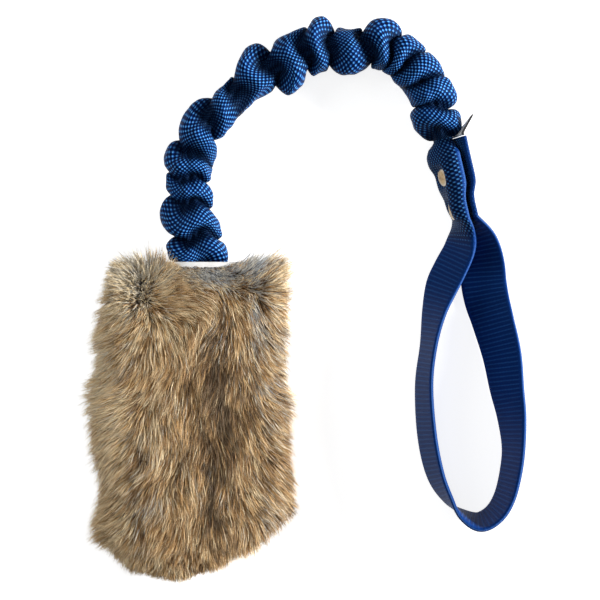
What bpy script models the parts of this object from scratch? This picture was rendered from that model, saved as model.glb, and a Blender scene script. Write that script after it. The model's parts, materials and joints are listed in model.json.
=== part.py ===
"""Bungee tug toy: a webbing handle loop, a ruched webbing bungee and a furred pelt pouch, lying flat.

Metres, +Z up. The toy lies on the plane z = 0 with the pelt at the left and the handle at the right.
All places are worked out from the pouch's mouth, and the finished toy is centred over the origin.
"""
import math

import bmesh
import bpy
import numpy as np
from mathutils import Matrix, Vector

MM = 0.001

# Shared clearance, and how far a cutter runs past what it cuts
GAP = 0.3 * MM
OVERRUN = 4 * MM

# Edges sharper than this stay sharp in the shading
SHARP_ANGLE = math.radians(40)

# Tubular webbing, pressed flat in the handle and gathered round the elastic in the bungee
WEBBING_WIDTH = 25 * MM
WEBBING_THICKNESS = 2.4 * MM
TUBE_WALL = 1.2 * MM
STRAP_STEP = 4.5 * MM
CORNER_SHARE = 0.29

# Elastic cord
ELASTIC_DIAMETER = 8 * MM
ELASTIC_END_RUN = 6 * MM
ELASTIC_SIDES = 10
ELASTIC_END_RINGS = 16
CORE_RINGS = 4

# Arch of the bungee, from the pouch's mouth at the left to the neck of the handle at the right
ARCH_SPAN = 131 * MM
ARCH_RISE = 117.5 * MM
ARCH_ROUTE_SHARES = (
    (0.000, -0.028), (0.000, 0.030), (-0.012, 0.105), (-0.029, 0.195), (-0.041, 0.310), (-0.041, 0.425),
    (-0.018, 0.545), (0.058, 0.683), (0.189, 0.807), (0.346, 0.917), (0.506, 0.982), (0.663, 1.000),
    (0.786, 0.965), (0.881, 0.876), (0.950, 0.757), (0.982, 0.655), (1.000, 0.569),
)
ROUTE_SAMPLES = 40

# Gathers of the sleeve: where each one's crest shows on the outer and the inner side of the arch
OUTER_CREST_SHARES = (
    (1.074, 0.670), (1.041, 0.817), (0.979, 0.927), (0.901, 1.014), (0.778, 1.119),
    (0.630, 1.069), (0.498, 1.124), (0.391, 1.064), (0.210, 0.991), (0.111, 0.830),
    (-0.041, 0.706), (-0.140, 0.491), (-0.132, 0.385), (-0.156, 0.216), (-0.132, 0.060),
)
INNER_CREST_SHARES = (
    (0.870, 0.656), (0.864, 0.739), (0.815, 0.812), (0.765, 0.867), (0.724, 0.917),
    (0.609, 0.858), (0.486, 0.872), (0.362, 0.771), (0.247, 0.706), (0.105, 0.596),
    (0.074, 0.477), (0.049, 0.399), (0.062, 0.303), (0.091, 0.170), (0.123, 0.041),
)
CREST_RISE_SHARE = 0.86
MOUTH_CREST_RISE_SHARE = 0.55
MOUTH_EASE_SHARE = 0.9
CREST_ROUNDNESS = 0.62
SLEEVE_SIDES = 14
RINGS_PER_GATHER = 4
RING_MARGIN_SHARE = 0.05
CREST_SAMPLES = 400
# The joint at the start of each link, from the handle to the pouch
LINK_JOINTS = (
    "handle_swing", "stretch_1", "bend_1", "stretch_2", "lift",
    "stretch_3", "bend_2", "stretch_4", "pelt_swing",
)

# Handle: a straight riveted neck, then a loop that lies on its edge
NECK_ANGLE = math.radians(13)
NECK_SWELL_RUN = 9.5 * MM
NECK_THICKNESS = 10 * MM
LOWER_STACK_THICKNESS = 7.5 * MM
UPPER_LEAN = math.radians(24)
LOWER_LEAN = math.radians(13)
REAR_END_SETBACK = 1 * MM
LOOP_LENGTH = 162.5 * MM
LOOP_BREADTH = 48 * MM
# Across and down as shares of the loop, then the lean in degrees, positive towards the loop's inside
LOOP_ROUTE = (
    (0.011, 0.047, 28), (-0.022, 0.100, 38), (-0.129, 0.166, 42), (-0.219, 0.223, 40), (-0.303, 0.306, 27),
    (-0.365, 0.415, 17), (-0.416, 0.548, 18), (-0.382, 0.714, 20), (-0.287, 0.844, 18), (-0.140, 0.927, 8),
    (0.006, 0.973, -8), (0.197, 0.998, -19), (0.365, 0.973, -21), (0.483, 0.917, -22), (0.556, 0.831, -23),
    (0.584, 0.748, -25), (0.562, 0.648, -34), (0.511, 0.558, -43), (0.455, 0.445, -53), (0.354, 0.332, -62),
    (0.292, 0.266, -72), (0.258, 0.209, -76), (0.240, 0.146, -70), (0.195, 0.073, -50),
)

# Rivets through the two ends of the handle
RIVET_CAP_DIAMETER = 10 * MM
RIVET_CAP_HEIGHT = 1.4 * MM
RIVET_POST_DIAMETER = 3.2 * MM
RIVET_SOCKET_DEPTH = 0.9 * MM
RIVET_FIRST = 20 * MM
RIVET_PITCH = 18.7 * MM
RIVET_LAND = 0.6 * MM
RIVET_SIDES = 20
# The dome of a rivet's cap, in shares of its radius and of its height, and the rim that meets the strap
RIVET_DOME_SHARES = ((0.55, 0.93), (0.86, 0.68), (1.0, 0.3))
RIVET_RIM_SHARE = 0.97

# Woven label, sewn in at the handle's cut end
LABEL_WIDTH = 21 * MM
LABEL_LENGTH = 16 * MM
LABEL_THICKNESS = 0.9 * MM
LABEL_TURN = math.radians(50)
LABEL_RINGS = 5

# Pelt pouch: two furred skins, swelling between the seams
PELT_LENGTH = 171 * MM
PELT_WIDTH = 102 * MM
PELT_THICKNESS = 31 * MM
PELT_RIM_THICKNESS = 7 * MM
PELT_REST_FLAT = 0.5 * MM
PELT_LEFT_SHARES = (
    (0.00, -0.490), (0.11, -0.500), (0.21, -0.515), (0.34, -0.530), (0.46, -0.550),
    (0.56, -0.540), (0.68, -0.510), (0.78, -0.520), (0.87, -0.520), (1.00, -0.440),
)
PELT_RIGHT_SHARES = (
    (0.00, 0.430), (0.11, 0.455), (0.21, 0.445), (0.34, 0.450), (0.46, 0.465),
    (0.56, 0.475), (0.68, 0.485), (0.77, 0.510), (1.00, 0.510),
)
PELT_FOOT_SHARES = (
    (0.00, 0.87), (0.10, 0.96), (0.30, 1.00), (0.55, 0.965), (0.80, 0.88), (1.00, 0.77),
)
PELT_MOUTH_THICKNESS_SHARE = 0.82
PELT_FOOT_ROUND_SHARE = 0.3
PELT_SIDE_POWER = 3.2
PELT_FOOT_POWER = 2.5
PELT_COLUMNS = 16
PELT_ROWS = 20

# Thread: the seam round the pouch, and the tack that holds the webbing's tail
THREAD_DIAMETER = 0.8 * MM
SEAM_INSET_SHARE = 0.055
SEAM_START_SHARE = 0.03
SEAM_SAMPLES = 60
SEAM_STITCH = 4 * MM
SEAM_SWING = 0.8 * MM
TAIL_LENGTH = 46 * MM
TAIL_FLAT_SHARE = 0.55
TAIL_RINGS = 12
TAIL_TACK_ROWS = 7
TACK_START_SHARE = 0.12
TACK_RUN_SHARE = 0.8
TACK_REACH_SHARE = 0.4
MOUTH_WIDTH = 38 * MM
MOUTH_HEIGHT = 20 * MM
MOUTH_RINGS = 14

# The seam's gap between the two skins
SKIN_GAP = THREAD_DIAMETER + 2 * GAP


def clear_scene():
    for item in list(bpy.data.objects):
        bpy.data.objects.remove(item, do_unlink=True)


def make_material(name, colour, roughness, metallic=0.0):
    material = bpy.data.materials.new(name)
    material.use_nodes = True
    shader = material.node_tree.nodes["Principled BSDF"]
    shader.inputs["Base Color"].default_value = (*colour, 1.0)
    shader.inputs["Roughness"].default_value = roughness
    shader.inputs["Metallic"].default_value = metallic
    return material


def eased(table, at):
    """The value at a place in a table of (place, value), which stays level between equal values."""
    for (low, a), (high, b) in zip(table, table[1:]):
        if at <= high:
            t = min(max((at - low) / (high - low), 0.0), 1.0)
            return a + (b - a) * t * t * (3 - 2 * t)
    return table[-1][1]


def smooth_through(points, samples):
    """Samples of a smooth curve through points of any dimension, the first and last of which it meets."""
    p = np.array(points, dtype=float)
    p = np.vstack([2 * p[0] - p[1], p, 2 * p[-1] - p[-2]])
    out = []
    for i in range(1, len(p) - 2):
        for t in np.arange(samples) / samples:
            a = 2 * p[i]
            b = p[i + 1] - p[i - 1]
            c = 2 * p[i - 1] - 5 * p[i] + 4 * p[i + 1] - p[i + 2]
            d = 3 * (p[i] - p[i + 1]) + p[i + 2] - p[i - 1]
            out.append((a + b * t + c * t * t + d * t ** 3) / 2)
    out.append(p[-2])
    return np.array(out)


def share_curve(shares):
    """A smooth function through (place, value) shares."""
    curve = smooth_through(shares, ROUTE_SAMPLES)
    return lambda at: float(np.interp(at, curve[:, 0], curve[:, 1]))


def unit(vector):
    return vector / np.linalg.norm(vector)


UP = np.array((0.0, 0.0, 1.0))


def lean_frame(along, lean):
    """The strap's side, its width direction and its thickness direction at a lean."""
    side = np.cross(UP, along)
    width = math.cos(lean) * UP + math.sin(lean) * side
    depth = math.cos(lean) * side - math.sin(lean) * UP
    return side, width, depth


def edge_height(lean, thickness):
    """How high the strap's middle lies when its lower edge is on the ground."""
    return WEBBING_WIDTH / 2 * math.cos(lean) + thickness / 2 * abs(math.sin(lean))


def flat_section(centre, width_way, depth_way, width, thickness):
    """Eight corners of a chamfered rectangle."""
    c = CORNER_SHARE * min(width, thickness)
    a = width / 2
    b = thickness / 2
    corners = (
        (a - c, b), (a, b - c), (a, c - b), (a - c, -b),
        (c - a, -b), (-a, c - b), (-a, b - c), (c - a, b),
    )
    return [centre + width_way * x + depth_way * y for x, y in corners]


class Toy:
    """The toy's empties, one on each joint, and the pieces that hang from them."""

    def __init__(self):
        self.root = bpy.data.objects.new("toy", None)
        bpy.context.collection.objects.link(self.root)
        self.empties = {"handle": self.root}
        self.places = {"handle": Vector((0.0, 0.0, 0.0))}
        self.pieces = []
        self.joints = []

    def add_joint(self, name, parent, child, place, axis):
        empty = bpy.data.objects.new("joint_" + name, None)
        bpy.context.collection.objects.link(empty)
        empty.parent = self.empties[parent]
        empty.location = Vector(place) - self.places[parent]
        self.empties[child] = empty
        self.places[child] = Vector(place)
        self.joints.append((name, parent, child, empty, Vector(axis)))

    def add_mesh(self, name, mesh, body, material):
        mesh.transform(Matrix.Translation(-self.places[body]))
        piece = bpy.data.objects.new(name, mesh)
        bpy.context.collection.objects.link(piece)
        piece.parent = self.empties[body]
        if material is not None:
            mesh.materials.append(material)
            self.pieces.append(piece)
        mesh.shade_smooth()
        mesh.set_sharp_from_angle(angle=SHARP_ANGLE)
        return piece

    def centre_on_ground(self):
        """Puts the middle of the whole toy over the origin, its lowest point at zero."""
        bpy.context.view_layer.update()
        corners = np.array([p.matrix_world @ v.co for p in self.pieces for v in p.data.vertices])
        low = corners.min(axis=0)
        high = corners.max(axis=0)
        self.root.location = (-(low[0] + high[0]) / 2, -(low[1] + high[1]) / 2, -low[2])
        bpy.context.view_layer.update()

    def print_joints(self):
        for name, parent, child, empty, axis in self.joints:
            place = [round(x, 6) for x in empty.matrix_world.translation]
            print("joint", name, parent, child, place, [round(x, 5) for x in axis])


def mesh_from_rings(name, rings, loops=None):
    """A closed mesh from rings of points, capped at both ends, or with a bore whose rings are given."""
    bm = bmesh.new()
    outer = [[bm.verts.new(p) for p in ring] for ring in rings]
    sides = len(rings[0])

    def skin(a, b, flip):
        for i in range(sides):
            j = (i + 1) % sides
            quad = (a[i], a[j], b[j], b[i])
            bm.faces.new(quad[::-1] if flip else quad)

    for a, b in zip(outer, outer[1:]):
        skin(a, b, False)
    if loops is None:
        bm.faces.new(outer[0][::-1])
        bm.faces.new(outer[-1])
    else:
        inner = [[bm.verts.new(p) for p in ring] for ring in loops]
        for a, b in zip(inner, inner[1:]):
            skin(a, b, True)
        skin(outer[0], inner[0], True)
        skin(outer[-1], inner[-1], False)
    bmesh.ops.triangulate(bm, faces=bm.faces[:])
    bmesh.ops.recalc_face_normals(bm, faces=bm.faces[:])
    mesh = bpy.data.meshes.new(name)
    bm.to_mesh(mesh)
    bm.free()
    return mesh


def lathe_mesh(name, profile, sides, to_world):
    """A closed turned solid from (radius, height) points, the first and last of which lie on the axis."""
    bm = bmesh.new()
    bottom = bm.verts.new(to_world @ Vector((0.0, 0.0, profile[0][1])))
    top = bm.verts.new(to_world @ Vector((0.0, 0.0, profile[-1][1])))
    turns = [2 * math.pi * i / sides for i in range(sides)]
    rings = []
    for radius, height in profile[1:-1]:
        points = [Vector((radius * math.cos(a), radius * math.sin(a), height)) for a in turns]
        rings.append([bm.verts.new(to_world @ point) for point in points])
    for i in range(sides):
        j = (i + 1) % sides
        bm.faces.new((bottom, rings[0][j], rings[0][i]))
        for a, b in zip(rings, rings[1:]):
            bm.faces.new((a[i], a[j], b[j], b[i]))
        bm.faces.new((top, rings[-1][i], rings[-1][j]))
    bmesh.ops.recalc_face_normals(bm, faces=bm.faces[:])
    mesh = bpy.data.meshes.new(name)
    bm.to_mesh(mesh)
    bm.free()
    return mesh


def cut(piece, cutter):
    """Takes a hidden cutter away from a piece."""
    cutter.hide_render = True
    cutter.display_type = "WIRE"
    boolean = piece.modifiers.new("cut_" + cutter.name, "BOOLEAN")
    boolean.operation = "DIFFERENCE"
    boolean.solver = "EXACT"
    boolean.object = cutter


class Arch:
    """The bungee's centreline from the handle's neck round to the pouch, and the gathers along it."""

    def __init__(self, neck_height, mouth_height):
        route = [(x * ARCH_SPAN, y * ARCH_RISE) for x, y in ARCH_ROUTE_SHARES][::-1]
        curve = smooth_through(route, ROUTE_SAMPLES)
        steps = np.linalg.norm(np.diff(curve, axis=0), axis=1)
        self.s = np.concatenate([[0.0], np.cumsum(steps)])
        self.length = self.s[-1]
        height = neck_height + (mouth_height - neck_height) * self.s / self.length
        self.points = np.column_stack([curve, height])
        self.ways = np.gradient(curve, self.s, axis=0)
        self.outer = self.crests(OUTER_CREST_SHARES)
        self.inner = self.crests(INNER_CREST_SHARES)

    def crests(self, shares):
        """Where the crests lie along the arch, and how far each reaches from the centreline."""
        found = []
        for x, y in shares:
            away = np.linalg.norm(self.points[:, :2] - (x * ARCH_SPAN, y * ARCH_RISE), axis=1)
            nearest = int(np.argmin(away))
            found.append((self.s[nearest], away[nearest]))
        return np.array(found)

    def at(self, s):
        return np.array([np.interp(s, self.s, self.points[:, i]) for i in range(3)])

    def frame(self, s):
        """The direction along the arch in the ground plane, and the direction to its outer side."""
        along = np.array([np.interp(s, self.s, self.ways[:, i]) for i in range(2)] + [0.0])
        along = unit(along)
        return along, np.cross(along, UP)

    def count_at(self, crests, s):
        """How many gathers have passed: whole at a crest, half way at a valley."""
        places = np.concatenate([[0.0], crests[:, 0], [self.length]])
        counts = np.concatenate([[0.5], np.arange(1, len(crests) + 1), [len(crests) + 0.5]])
        return float(np.interp(s, places, counts))

    def reach_at(self, crests, count):
        return float(np.interp(count, np.arange(1, len(crests) + 1), crests[:, 1]))

    def sleeve_radius(self, s, angle):
        """The sleeve's radius, where angle 0 is the arch's outer side and a quarter turn is up."""
        valley = ELASTIC_DIAMETER / 2 + TUBE_WALL
        outer = self.count_at(self.outer, s)
        inner = self.count_at(self.inner, s)
        to_inner = (1 - math.cos(angle)) / 2
        count = outer + (inner - outer) * to_inner
        across = self.reach_at(self.outer if math.cos(angle) > 0 else self.inner, count)
        rise_shares = ((MOUTH_EASE_SHARE, CREST_RISE_SHARE), (1.0, MOUTH_CREST_RISE_SHARE))
        rise = eased(rise_shares, s / self.length) * WEBBING_WIDTH / 2 / CREST_RISE_SHARE
        crest = math.hypot(across * math.cos(angle), rise * math.sin(angle))
        puff = abs(math.cos(math.pi * count)) ** CREST_ROUNDNESS
        return valley + max(crest - valley, 0.0) * puff

    def ring(self, s, radius_at, sides):
        centre = self.at(s)
        _, out = self.frame(s)
        ring = []
        for i in range(sides):
            angle = 2 * math.pi * i / sides
            way = math.cos(angle) * out + math.sin(angle) * UP
            point = centre + way * radius_at(s, angle)
            point[2] = max(point[2], 0.0)
            ring.append(point)
        return ring

    def crest_stations(self, low, high):
        """Places for rings between two ends, a few to each gather."""
        fine = np.linspace(low, high, CREST_SAMPLES)
        counts = [(self.count_at(self.outer, s) + self.count_at(self.inner, s)) / 2 for s in fine]
        wanted = np.arange(math.ceil(counts[0] * RINGS_PER_GATHER), counts[-1] * RINGS_PER_GATHER)
        middle = np.interp(wanted / RINGS_PER_GATHER, counts, fine)
        margin = (high - low) * RING_MARGIN_SHARE
        middle = [s for s in middle if low + margin < s < high - margin]
        return [low] + middle + [high]


class Handle:
    """The strap's stations: the front end, the loop and the rear end, which lies against the front."""

    def __init__(self, neck):
        self.neck = np.array((neck[0], neck[1], 0.0))
        self.along = np.array((math.sin(NECK_ANGLE), -math.cos(NECK_ANGLE), 0.0))
        land = RIVET_CAP_DIAMETER / 2 + RIVET_LAND
        first = RIVET_FIRST
        second = RIVET_FIRST + RIVET_PITCH
        self.rivets = (first, second)
        self.end = second + land
        self.lean = (
            (0.0, UPPER_LEAN), (first + land, UPPER_LEAN),
            (second - land, LOWER_LEAN), (self.end, LOWER_LEAN),
        )
        neck_width = ELASTIC_DIAMETER + 2 * TUBE_WALL
        self.width = ((0.0, neck_width), (NECK_SWELL_RUN, WEBBING_WIDTH))
        self.thickness = (
            (0.0, neck_width), (NECK_SWELL_RUN, NECK_THICKNESS), (first + land, NECK_THICKNESS),
            (second - land, LOWER_STACK_THICKNESS), (second + land, LOWER_STACK_THICKNESS),
        )
        self.elastic_end = self.end - RIVET_LAND
        squashed = NECK_THICKNESS - 2 * TUBE_WALL - 2 * GAP
        lower = LOWER_STACK_THICKNESS - 2 * TUBE_WALL - 2 * GAP
        area = ELASTIC_DIAMETER ** 2
        self.elastic_thickness = (
            (0.0, ELASTIC_DIAMETER), (ELASTIC_END_RUN, ELASTIC_DIAMETER), (first - land, squashed),
            (first + land, squashed), (second - land, lower), (self.end, lower),
        )
        self.elastic_width = tuple((d, area / t) for d, t in self.elastic_thickness)

    def front(self, d):
        """The front end's middle at a distance from the neck, with its directions and its sizes."""
        lean = eased(self.lean, d)
        thickness = eased(self.thickness, d)
        _, width_way, depth_way = lean_frame(self.along, lean)
        centre = self.neck + self.along * d
        centre[2] = edge_height(lean, thickness)
        return centre, width_way, depth_way, eased(self.width, d), thickness

    def rear(self, d):
        """The rear end's middle, flat against the front end with its lower edge on the ground."""
        lean = eased(self.lean, d)
        centre, width_way, depth_way, _, thickness = self.front(d)
        if d < self.rivets[0]:
            thickness = max(thickness, NECK_THICKNESS)
        off = thickness / 2 + GAP + WEBBING_THICKNESS / 2
        height = edge_height(lean, WEBBING_THICKNESS)
        along_width = (height - centre[2] + off * math.sin(lean)) / math.cos(lean)
        return centre + depth_way * off + width_way * along_width, width_way, depth_way

    def loop_stations(self):
        """Middle, along and lean of the loop, from the front end round to the rear end."""
        start, _, _, _, _ = self.front(self.end)
        before, _, _, _, _ = self.front(self.end - STRAP_STEP)
        finish, _, _ = self.rear(self.end)
        after, _, _ = self.rear(self.end - STRAP_STEP)
        low = math.degrees(LOWER_LEAN)
        points = [(*before[:2], low), (*start[:2], low)]
        for across, down, lean in LOOP_ROUTE:
            points.append((start[0] + across * LOOP_BREADTH, start[1] - down * LOOP_LENGTH, lean))
        points += [(*finish[:2], -low), (*after[:2], -low)]
        curve = smooth_through(points, ROUTE_SAMPLES)[ROUTE_SAMPLES:-ROUTE_SAMPLES]
        steps = np.linalg.norm(np.diff(curve[:, :2], axis=0), axis=1)
        s = np.concatenate([[0.0], np.cumsum(steps)])
        places = np.linspace(0.0, s[-1], int(s[-1] / STRAP_STEP))
        taper = ((0.0, LOWER_STACK_THICKNESS), (RIVET_PITCH, WEBBING_THICKNESS))
        thin = [eased(taper, at) for at in places]
        x, y, lean = (np.interp(places, s, curve[:, i]) for i in range(3))
        ways = np.gradient(np.column_stack([x, y]), places, axis=0)
        stations = []
        for i in range(1, len(places) - 1):
            middle = np.array((x[i], y[i], 0.0))
            stations.append((middle, unit(np.append(ways[i], 0.0)), math.radians(lean[i]), thin[i]))
        return stations

    def sections(self):
        rings = []
        for d in np.arange(0.0, self.end, STRAP_STEP / 2):
            rings.append(flat_section(*self.front(d)))
        rings.append(flat_section(*self.front(self.end)))
        for centre, along, lean, thickness in self.loop_stations():
            _, width_way, depth_way = lean_frame(along, lean)
            centre[2] = edge_height(lean, thickness)
            rings.append(flat_section(centre, width_way, depth_way, WEBBING_WIDTH, thickness))
        places = list(np.arange(self.end, REAR_END_SETBACK, -STRAP_STEP)) + [REAR_END_SETBACK]
        for d in places:
            centre, width_way, depth_way = self.rear(d)
            rings.append(flat_section(centre, width_way, -depth_way, WEBBING_WIDTH, WEBBING_THICKNESS))
        return rings

    def elastic_sections(self, low, high, spare):
        """Sections of the elastic's end, or of the pocket round it with some spare."""
        rings = []
        for d in np.linspace(low, high, ELASTIC_END_RINGS):
            centre, width_way, depth_way, _, _ = self.front(d)
            width = eased(self.elastic_width, d) + 2 * spare
            thickness = eased(self.elastic_thickness, d) + 2 * spare
            rings.append(flat_section(centre, width_way, depth_way, width, thickness))
        return rings


class Pelt:
    """The pouch's outline and swell. The mouth's middle is the origin, and the pouch hangs towards -Y."""

    def __init__(self, middle):
        self.middle = middle
        self.left = share_curve(PELT_LEFT_SHARES)
        self.right = share_curve(PELT_RIGHT_SHARES)
        self.foot = share_curve(PELT_FOOT_SHARES)

    def place(self, u, v):
        """A point inside the outline, from the left edge to the right and from the mouth to the foot."""
        down = v * self.foot(u)
        left = self.left(down)
        across = left + (self.right(down) - left) * u
        return across * PELT_WIDTH, -down * PELT_LENGTH

    def swell(self, u, v):
        """Half of the pouch's thickness at a place."""
        side = max(1 - abs(2 * u - 1) ** PELT_SIDE_POWER, 0.0) ** 0.5
        start = 1 - PELT_FOOT_ROUND_SHARE
        rounding = max(v - start, 0.0) / PELT_FOOT_ROUND_SHARE
        foot = max(1 - rounding ** PELT_FOOT_POWER, 0.0) ** 0.5
        mouth = eased(((0.0, PELT_MOUTH_THICKNESS_SHARE), (PELT_FOOT_ROUND_SHARE, 1.0)), v)
        rim = PELT_RIM_THICKNESS / 2
        return rim + (PELT_THICKNESS / 2 - rim) * side * foot * mouth

    def skin_mesh(self, name, up):
        """One skin with its fur, from its flat side on the seam out to its swollen face."""
        us = [(1 - math.cos(math.pi * i / PELT_COLUMNS)) / 2 for i in range(PELT_COLUMNS + 1)]
        vs = [math.sin(math.pi / 2 * i / PELT_ROWS) for i in range(PELT_ROWS + 1)]
        bm = bmesh.new()

        def grid(height):
            rows = []
            for v in vs:
                row = []
                for u in us:
                    x, y = self.place(u, v)
                    row.append(bm.verts.new((x, y, max(self.middle + up * height(u, v), 0.0))))
                rows.append(row)
            return rows

        far = grid(self.swell)
        near = grid(lambda u, v: SKIN_GAP / 2)
        for rows, flip in ((far, up < 0), (near, up > 0)):
            for a, b in zip(rows, rows[1:]):
                for i in range(PELT_COLUMNS):
                    quad = (a[i], b[i], b[i + 1], a[i + 1])
                    bm.faces.new(quad[::-1] if flip else quad)
        rims = [far[0], [r[-1] for r in far], far[-1][::-1], [r[0] for r in far][::-1]]
        inner_rims = [near[0], [r[-1] for r in near], near[-1][::-1], [r[0] for r in near][::-1]]
        for rim, inner_rim in zip(rims, inner_rims):
            for i in range(len(rim) - 1):
                quad = (rim[i], rim[i + 1], inner_rim[i + 1], inner_rim[i])
                bm.faces.new(quad[::-1] if up < 0 else quad)
        bmesh.ops.recalc_face_normals(bm, faces=bm.faces[:])
        mesh = bpy.data.meshes.new(name)
        bm.to_mesh(mesh)
        bm.free()
        return mesh

    def seam_points(self):
        """A thread that swings in and out along the left side, the foot and the right side."""
        inset = SEAM_INSET_SHARE
        down = np.linspace(SEAM_START_SHARE, 1 - inset, SEAM_SAMPLES)
        edge = [(inset, v) for v in down]
        edge += [(u, 1 - inset) for u in np.linspace(inset, 1 - inset, SEAM_SAMPLES)]
        edge += [(1 - inset, v) for v in down[::-1]]
        path = np.array([self.place(u, v) for u, v in edge])
        steps = np.linalg.norm(np.diff(path, axis=0), axis=1)
        s = np.concatenate([[0.0], np.cumsum(steps)])
        count = int(s[-1] / (SEAM_STITCH / 2))
        places = np.linspace(0.0, s[-1], count)
        x = np.interp(places, s, path[:, 0])
        y = np.interp(places, s, path[:, 1])
        ways = np.gradient(np.column_stack([x, y]), places, axis=0)
        points = []
        for i in range(count):
            way = unit(ways[i])
            swing = SEAM_SWING * (1 if i % 2 else -1)
            points.append((x[i] - way[1] * swing, y[i] + way[0] * swing, self.middle))
        return points


def thread_mesh(name, points, radius):
    """A four-sided thread through points, mitred at each."""
    points = [np.array(p) for p in points]
    rings = []
    for i, point in enumerate(points):
        way = unit(points[min(i + 1, len(points) - 1)] - points[max(i - 1, 0)])
        side = unit(np.cross(UP, way))
        ways = (side, UP, -side, -UP)
        rings.append([point + way * radius for way in ways])
    return mesh_from_rings(name, rings)


def build_materials():
    return {
        "webbing": make_material("blue_webbing", (0.012, 0.075, 0.30), 0.6),
        "elastic": make_material("elastic_cord", (0.03, 0.03, 0.035), 0.7),
        "metal": make_material("rivet_metal", (0.42, 0.36, 0.29), 0.38, 1.0),
        "label": make_material("label_cloth", (0.85, 0.85, 0.84), 0.75),
        "fur": make_material("pelt_fur", (0.36, 0.25, 0.15), 0.85),
        "thread": make_material("sewing_thread", (0.55, 0.50, 0.42), 0.7),
    }


def build_handle(toy, handle, materials):
    strap = mesh_from_rings("handle_strap", handle.sections())
    strap = toy.add_mesh("handle_strap", strap, "handle", materials["webbing"])
    pocket = mesh_from_rings("pocket", handle.elastic_sections(-GAP, handle.elastic_end + GAP, GAP))
    cut(strap, toy.add_mesh("elastic_pocket", pocket, "handle", None))
    end = mesh_from_rings("elastic_end", handle.elastic_sections(0.0, handle.elastic_end, 0.0))
    elastic = toy.add_mesh("elastic_end", end, "handle", materials["elastic"])
    for name, d in zip(("upper", "lower"), handle.rivets):
        centre, width_way, depth_way, _, thickness = handle.front(d)
        stack = thickness + GAP + WEBBING_THICKNESS
        face = centre - depth_way * (thickness / 2)
        turn = Matrix([np.cross(width_way, depth_way), width_way, depth_way]).transposed().to_4x4()
        to_world = Matrix.Translation(face) @ turn
        for piece, profile in (("rivet_cap_", cap_profile(stack)), ("rivet_back_", back_profile(stack))):
            mesh = lathe_mesh(piece, profile, RIVET_SIDES, to_world)
            toy.add_mesh(piece + name, mesh, "handle", materials["metal"])
        bore = lathe_mesh("bore", bore_profile(stack), RIVET_SIDES, to_world)
        cutter = toy.add_mesh("rivet_bore_" + name, bore, "handle", None)
        cut(strap, cutter)
        cut(elastic, cutter)


def cap_profile(stack):
    """The cap with its post, whose end stands in the back's socket. Height 0 is the strap's face."""
    radius = RIVET_CAP_DIAMETER / 2
    post = RIVET_POST_DIAMETER / 2
    post_end = stack + RIVET_SOCKET_DEPTH
    dome = [(radius * r, -GAP - RIVET_CAP_HEIGHT * h) for r, h in RIVET_DOME_SHARES]
    return [
        (0.0, -GAP - RIVET_CAP_HEIGHT), *dome, (radius * RIVET_RIM_SHARE, -GAP),
        (post, -GAP), (post, post_end), (0.0, post_end),
    ]


def back_profile(stack):
    """The back's dome, with the socket that takes the post."""
    radius = RIVET_CAP_DIAMETER / 2
    socket = RIVET_POST_DIAMETER / 2 + GAP
    base = stack + GAP
    floor = base + RIVET_SOCKET_DEPTH
    dome = [(radius * r, base + RIVET_CAP_HEIGHT * h) for r, h in RIVET_DOME_SHARES[::-1]]
    return [
        (0.0, floor), (socket, floor), (socket, base), (radius * RIVET_RIM_SHARE, base),
        *dome, (0.0, base + RIVET_CAP_HEIGHT),
    ]


def bore_profile(stack):
    """The cutter for the hole that the post goes through."""
    radius = RIVET_POST_DIAMETER / 2 + GAP
    return ((0.0, -OVERRUN), (radius, -OVERRUN), (radius, stack + OVERRUN), (0.0, stack + OVERRUN))


def build_label(toy, handle, materials):
    """A folded label that stands out of the handle's cut end, on its own seam."""
    root, width_way, _ = handle.rear(REAR_END_SETBACK - GAP)
    side, _, _ = lean_frame(handle.along, UPPER_LEAN)
    out = math.cos(LABEL_TURN) * -handle.along + math.sin(LABEL_TURN) * side
    face = unit(np.cross(width_way, out))
    root = root + out * (LABEL_THICKNESS / 2)
    toy.add_joint("label_flap", "handle", "label", root, width_way)
    rings = []
    for reach in np.linspace(0.0, LABEL_LENGTH, LABEL_RINGS):
        rings.append(flat_section(root + out * reach, width_way, face, LABEL_WIDTH, LABEL_THICKNESS))
    toy.add_mesh("woven_label", mesh_from_rings("woven_label", rings), "label", materials["label"])


def build_bungee(toy, arch, materials):
    """Links of ruched sleeve round links of elastic, each on the joint at its start."""
    length = arch.length / len(LINK_JOINTS)
    parent = "handle"
    for i, joint in enumerate(LINK_JOINTS):
        kind = joint.split("_")[0]
        child = "link_" + str(i + 1)
        along, out = arch.frame(i * length)
        axis = {"stretch": along, "lift": out}.get(kind, -UP)
        toy.add_joint(joint, parent, child, arch.at(i * length), axis)
        low = i * length + (GAP / 2 if i else GAP)
        high = (i + 1) * length - GAP / 2
        rings = [arch.ring(s, arch.sleeve_radius, SLEEVE_SIDES) for s in arch.crest_stations(low, high)]
        core_places = np.linspace(low, high, CORE_RINGS)
        bore = [arch.ring(s, lambda s, a: ELASTIC_DIAMETER / 2 + GAP, SLEEVE_SIDES) for s in core_places]
        core = [arch.ring(s, lambda s, a: ELASTIC_DIAMETER / 2, ELASTIC_SIDES) for s in core_places]
        sleeve = mesh_from_rings("sleeve", rings, bore)
        toy.add_mesh("bungee_sleeve_" + str(i + 1), sleeve, child, materials["webbing"])
        core = mesh_from_rings("core", core)
        toy.add_mesh("elastic_core_" + str(i + 1), core, child, materials["elastic"])
        parent = child


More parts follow.
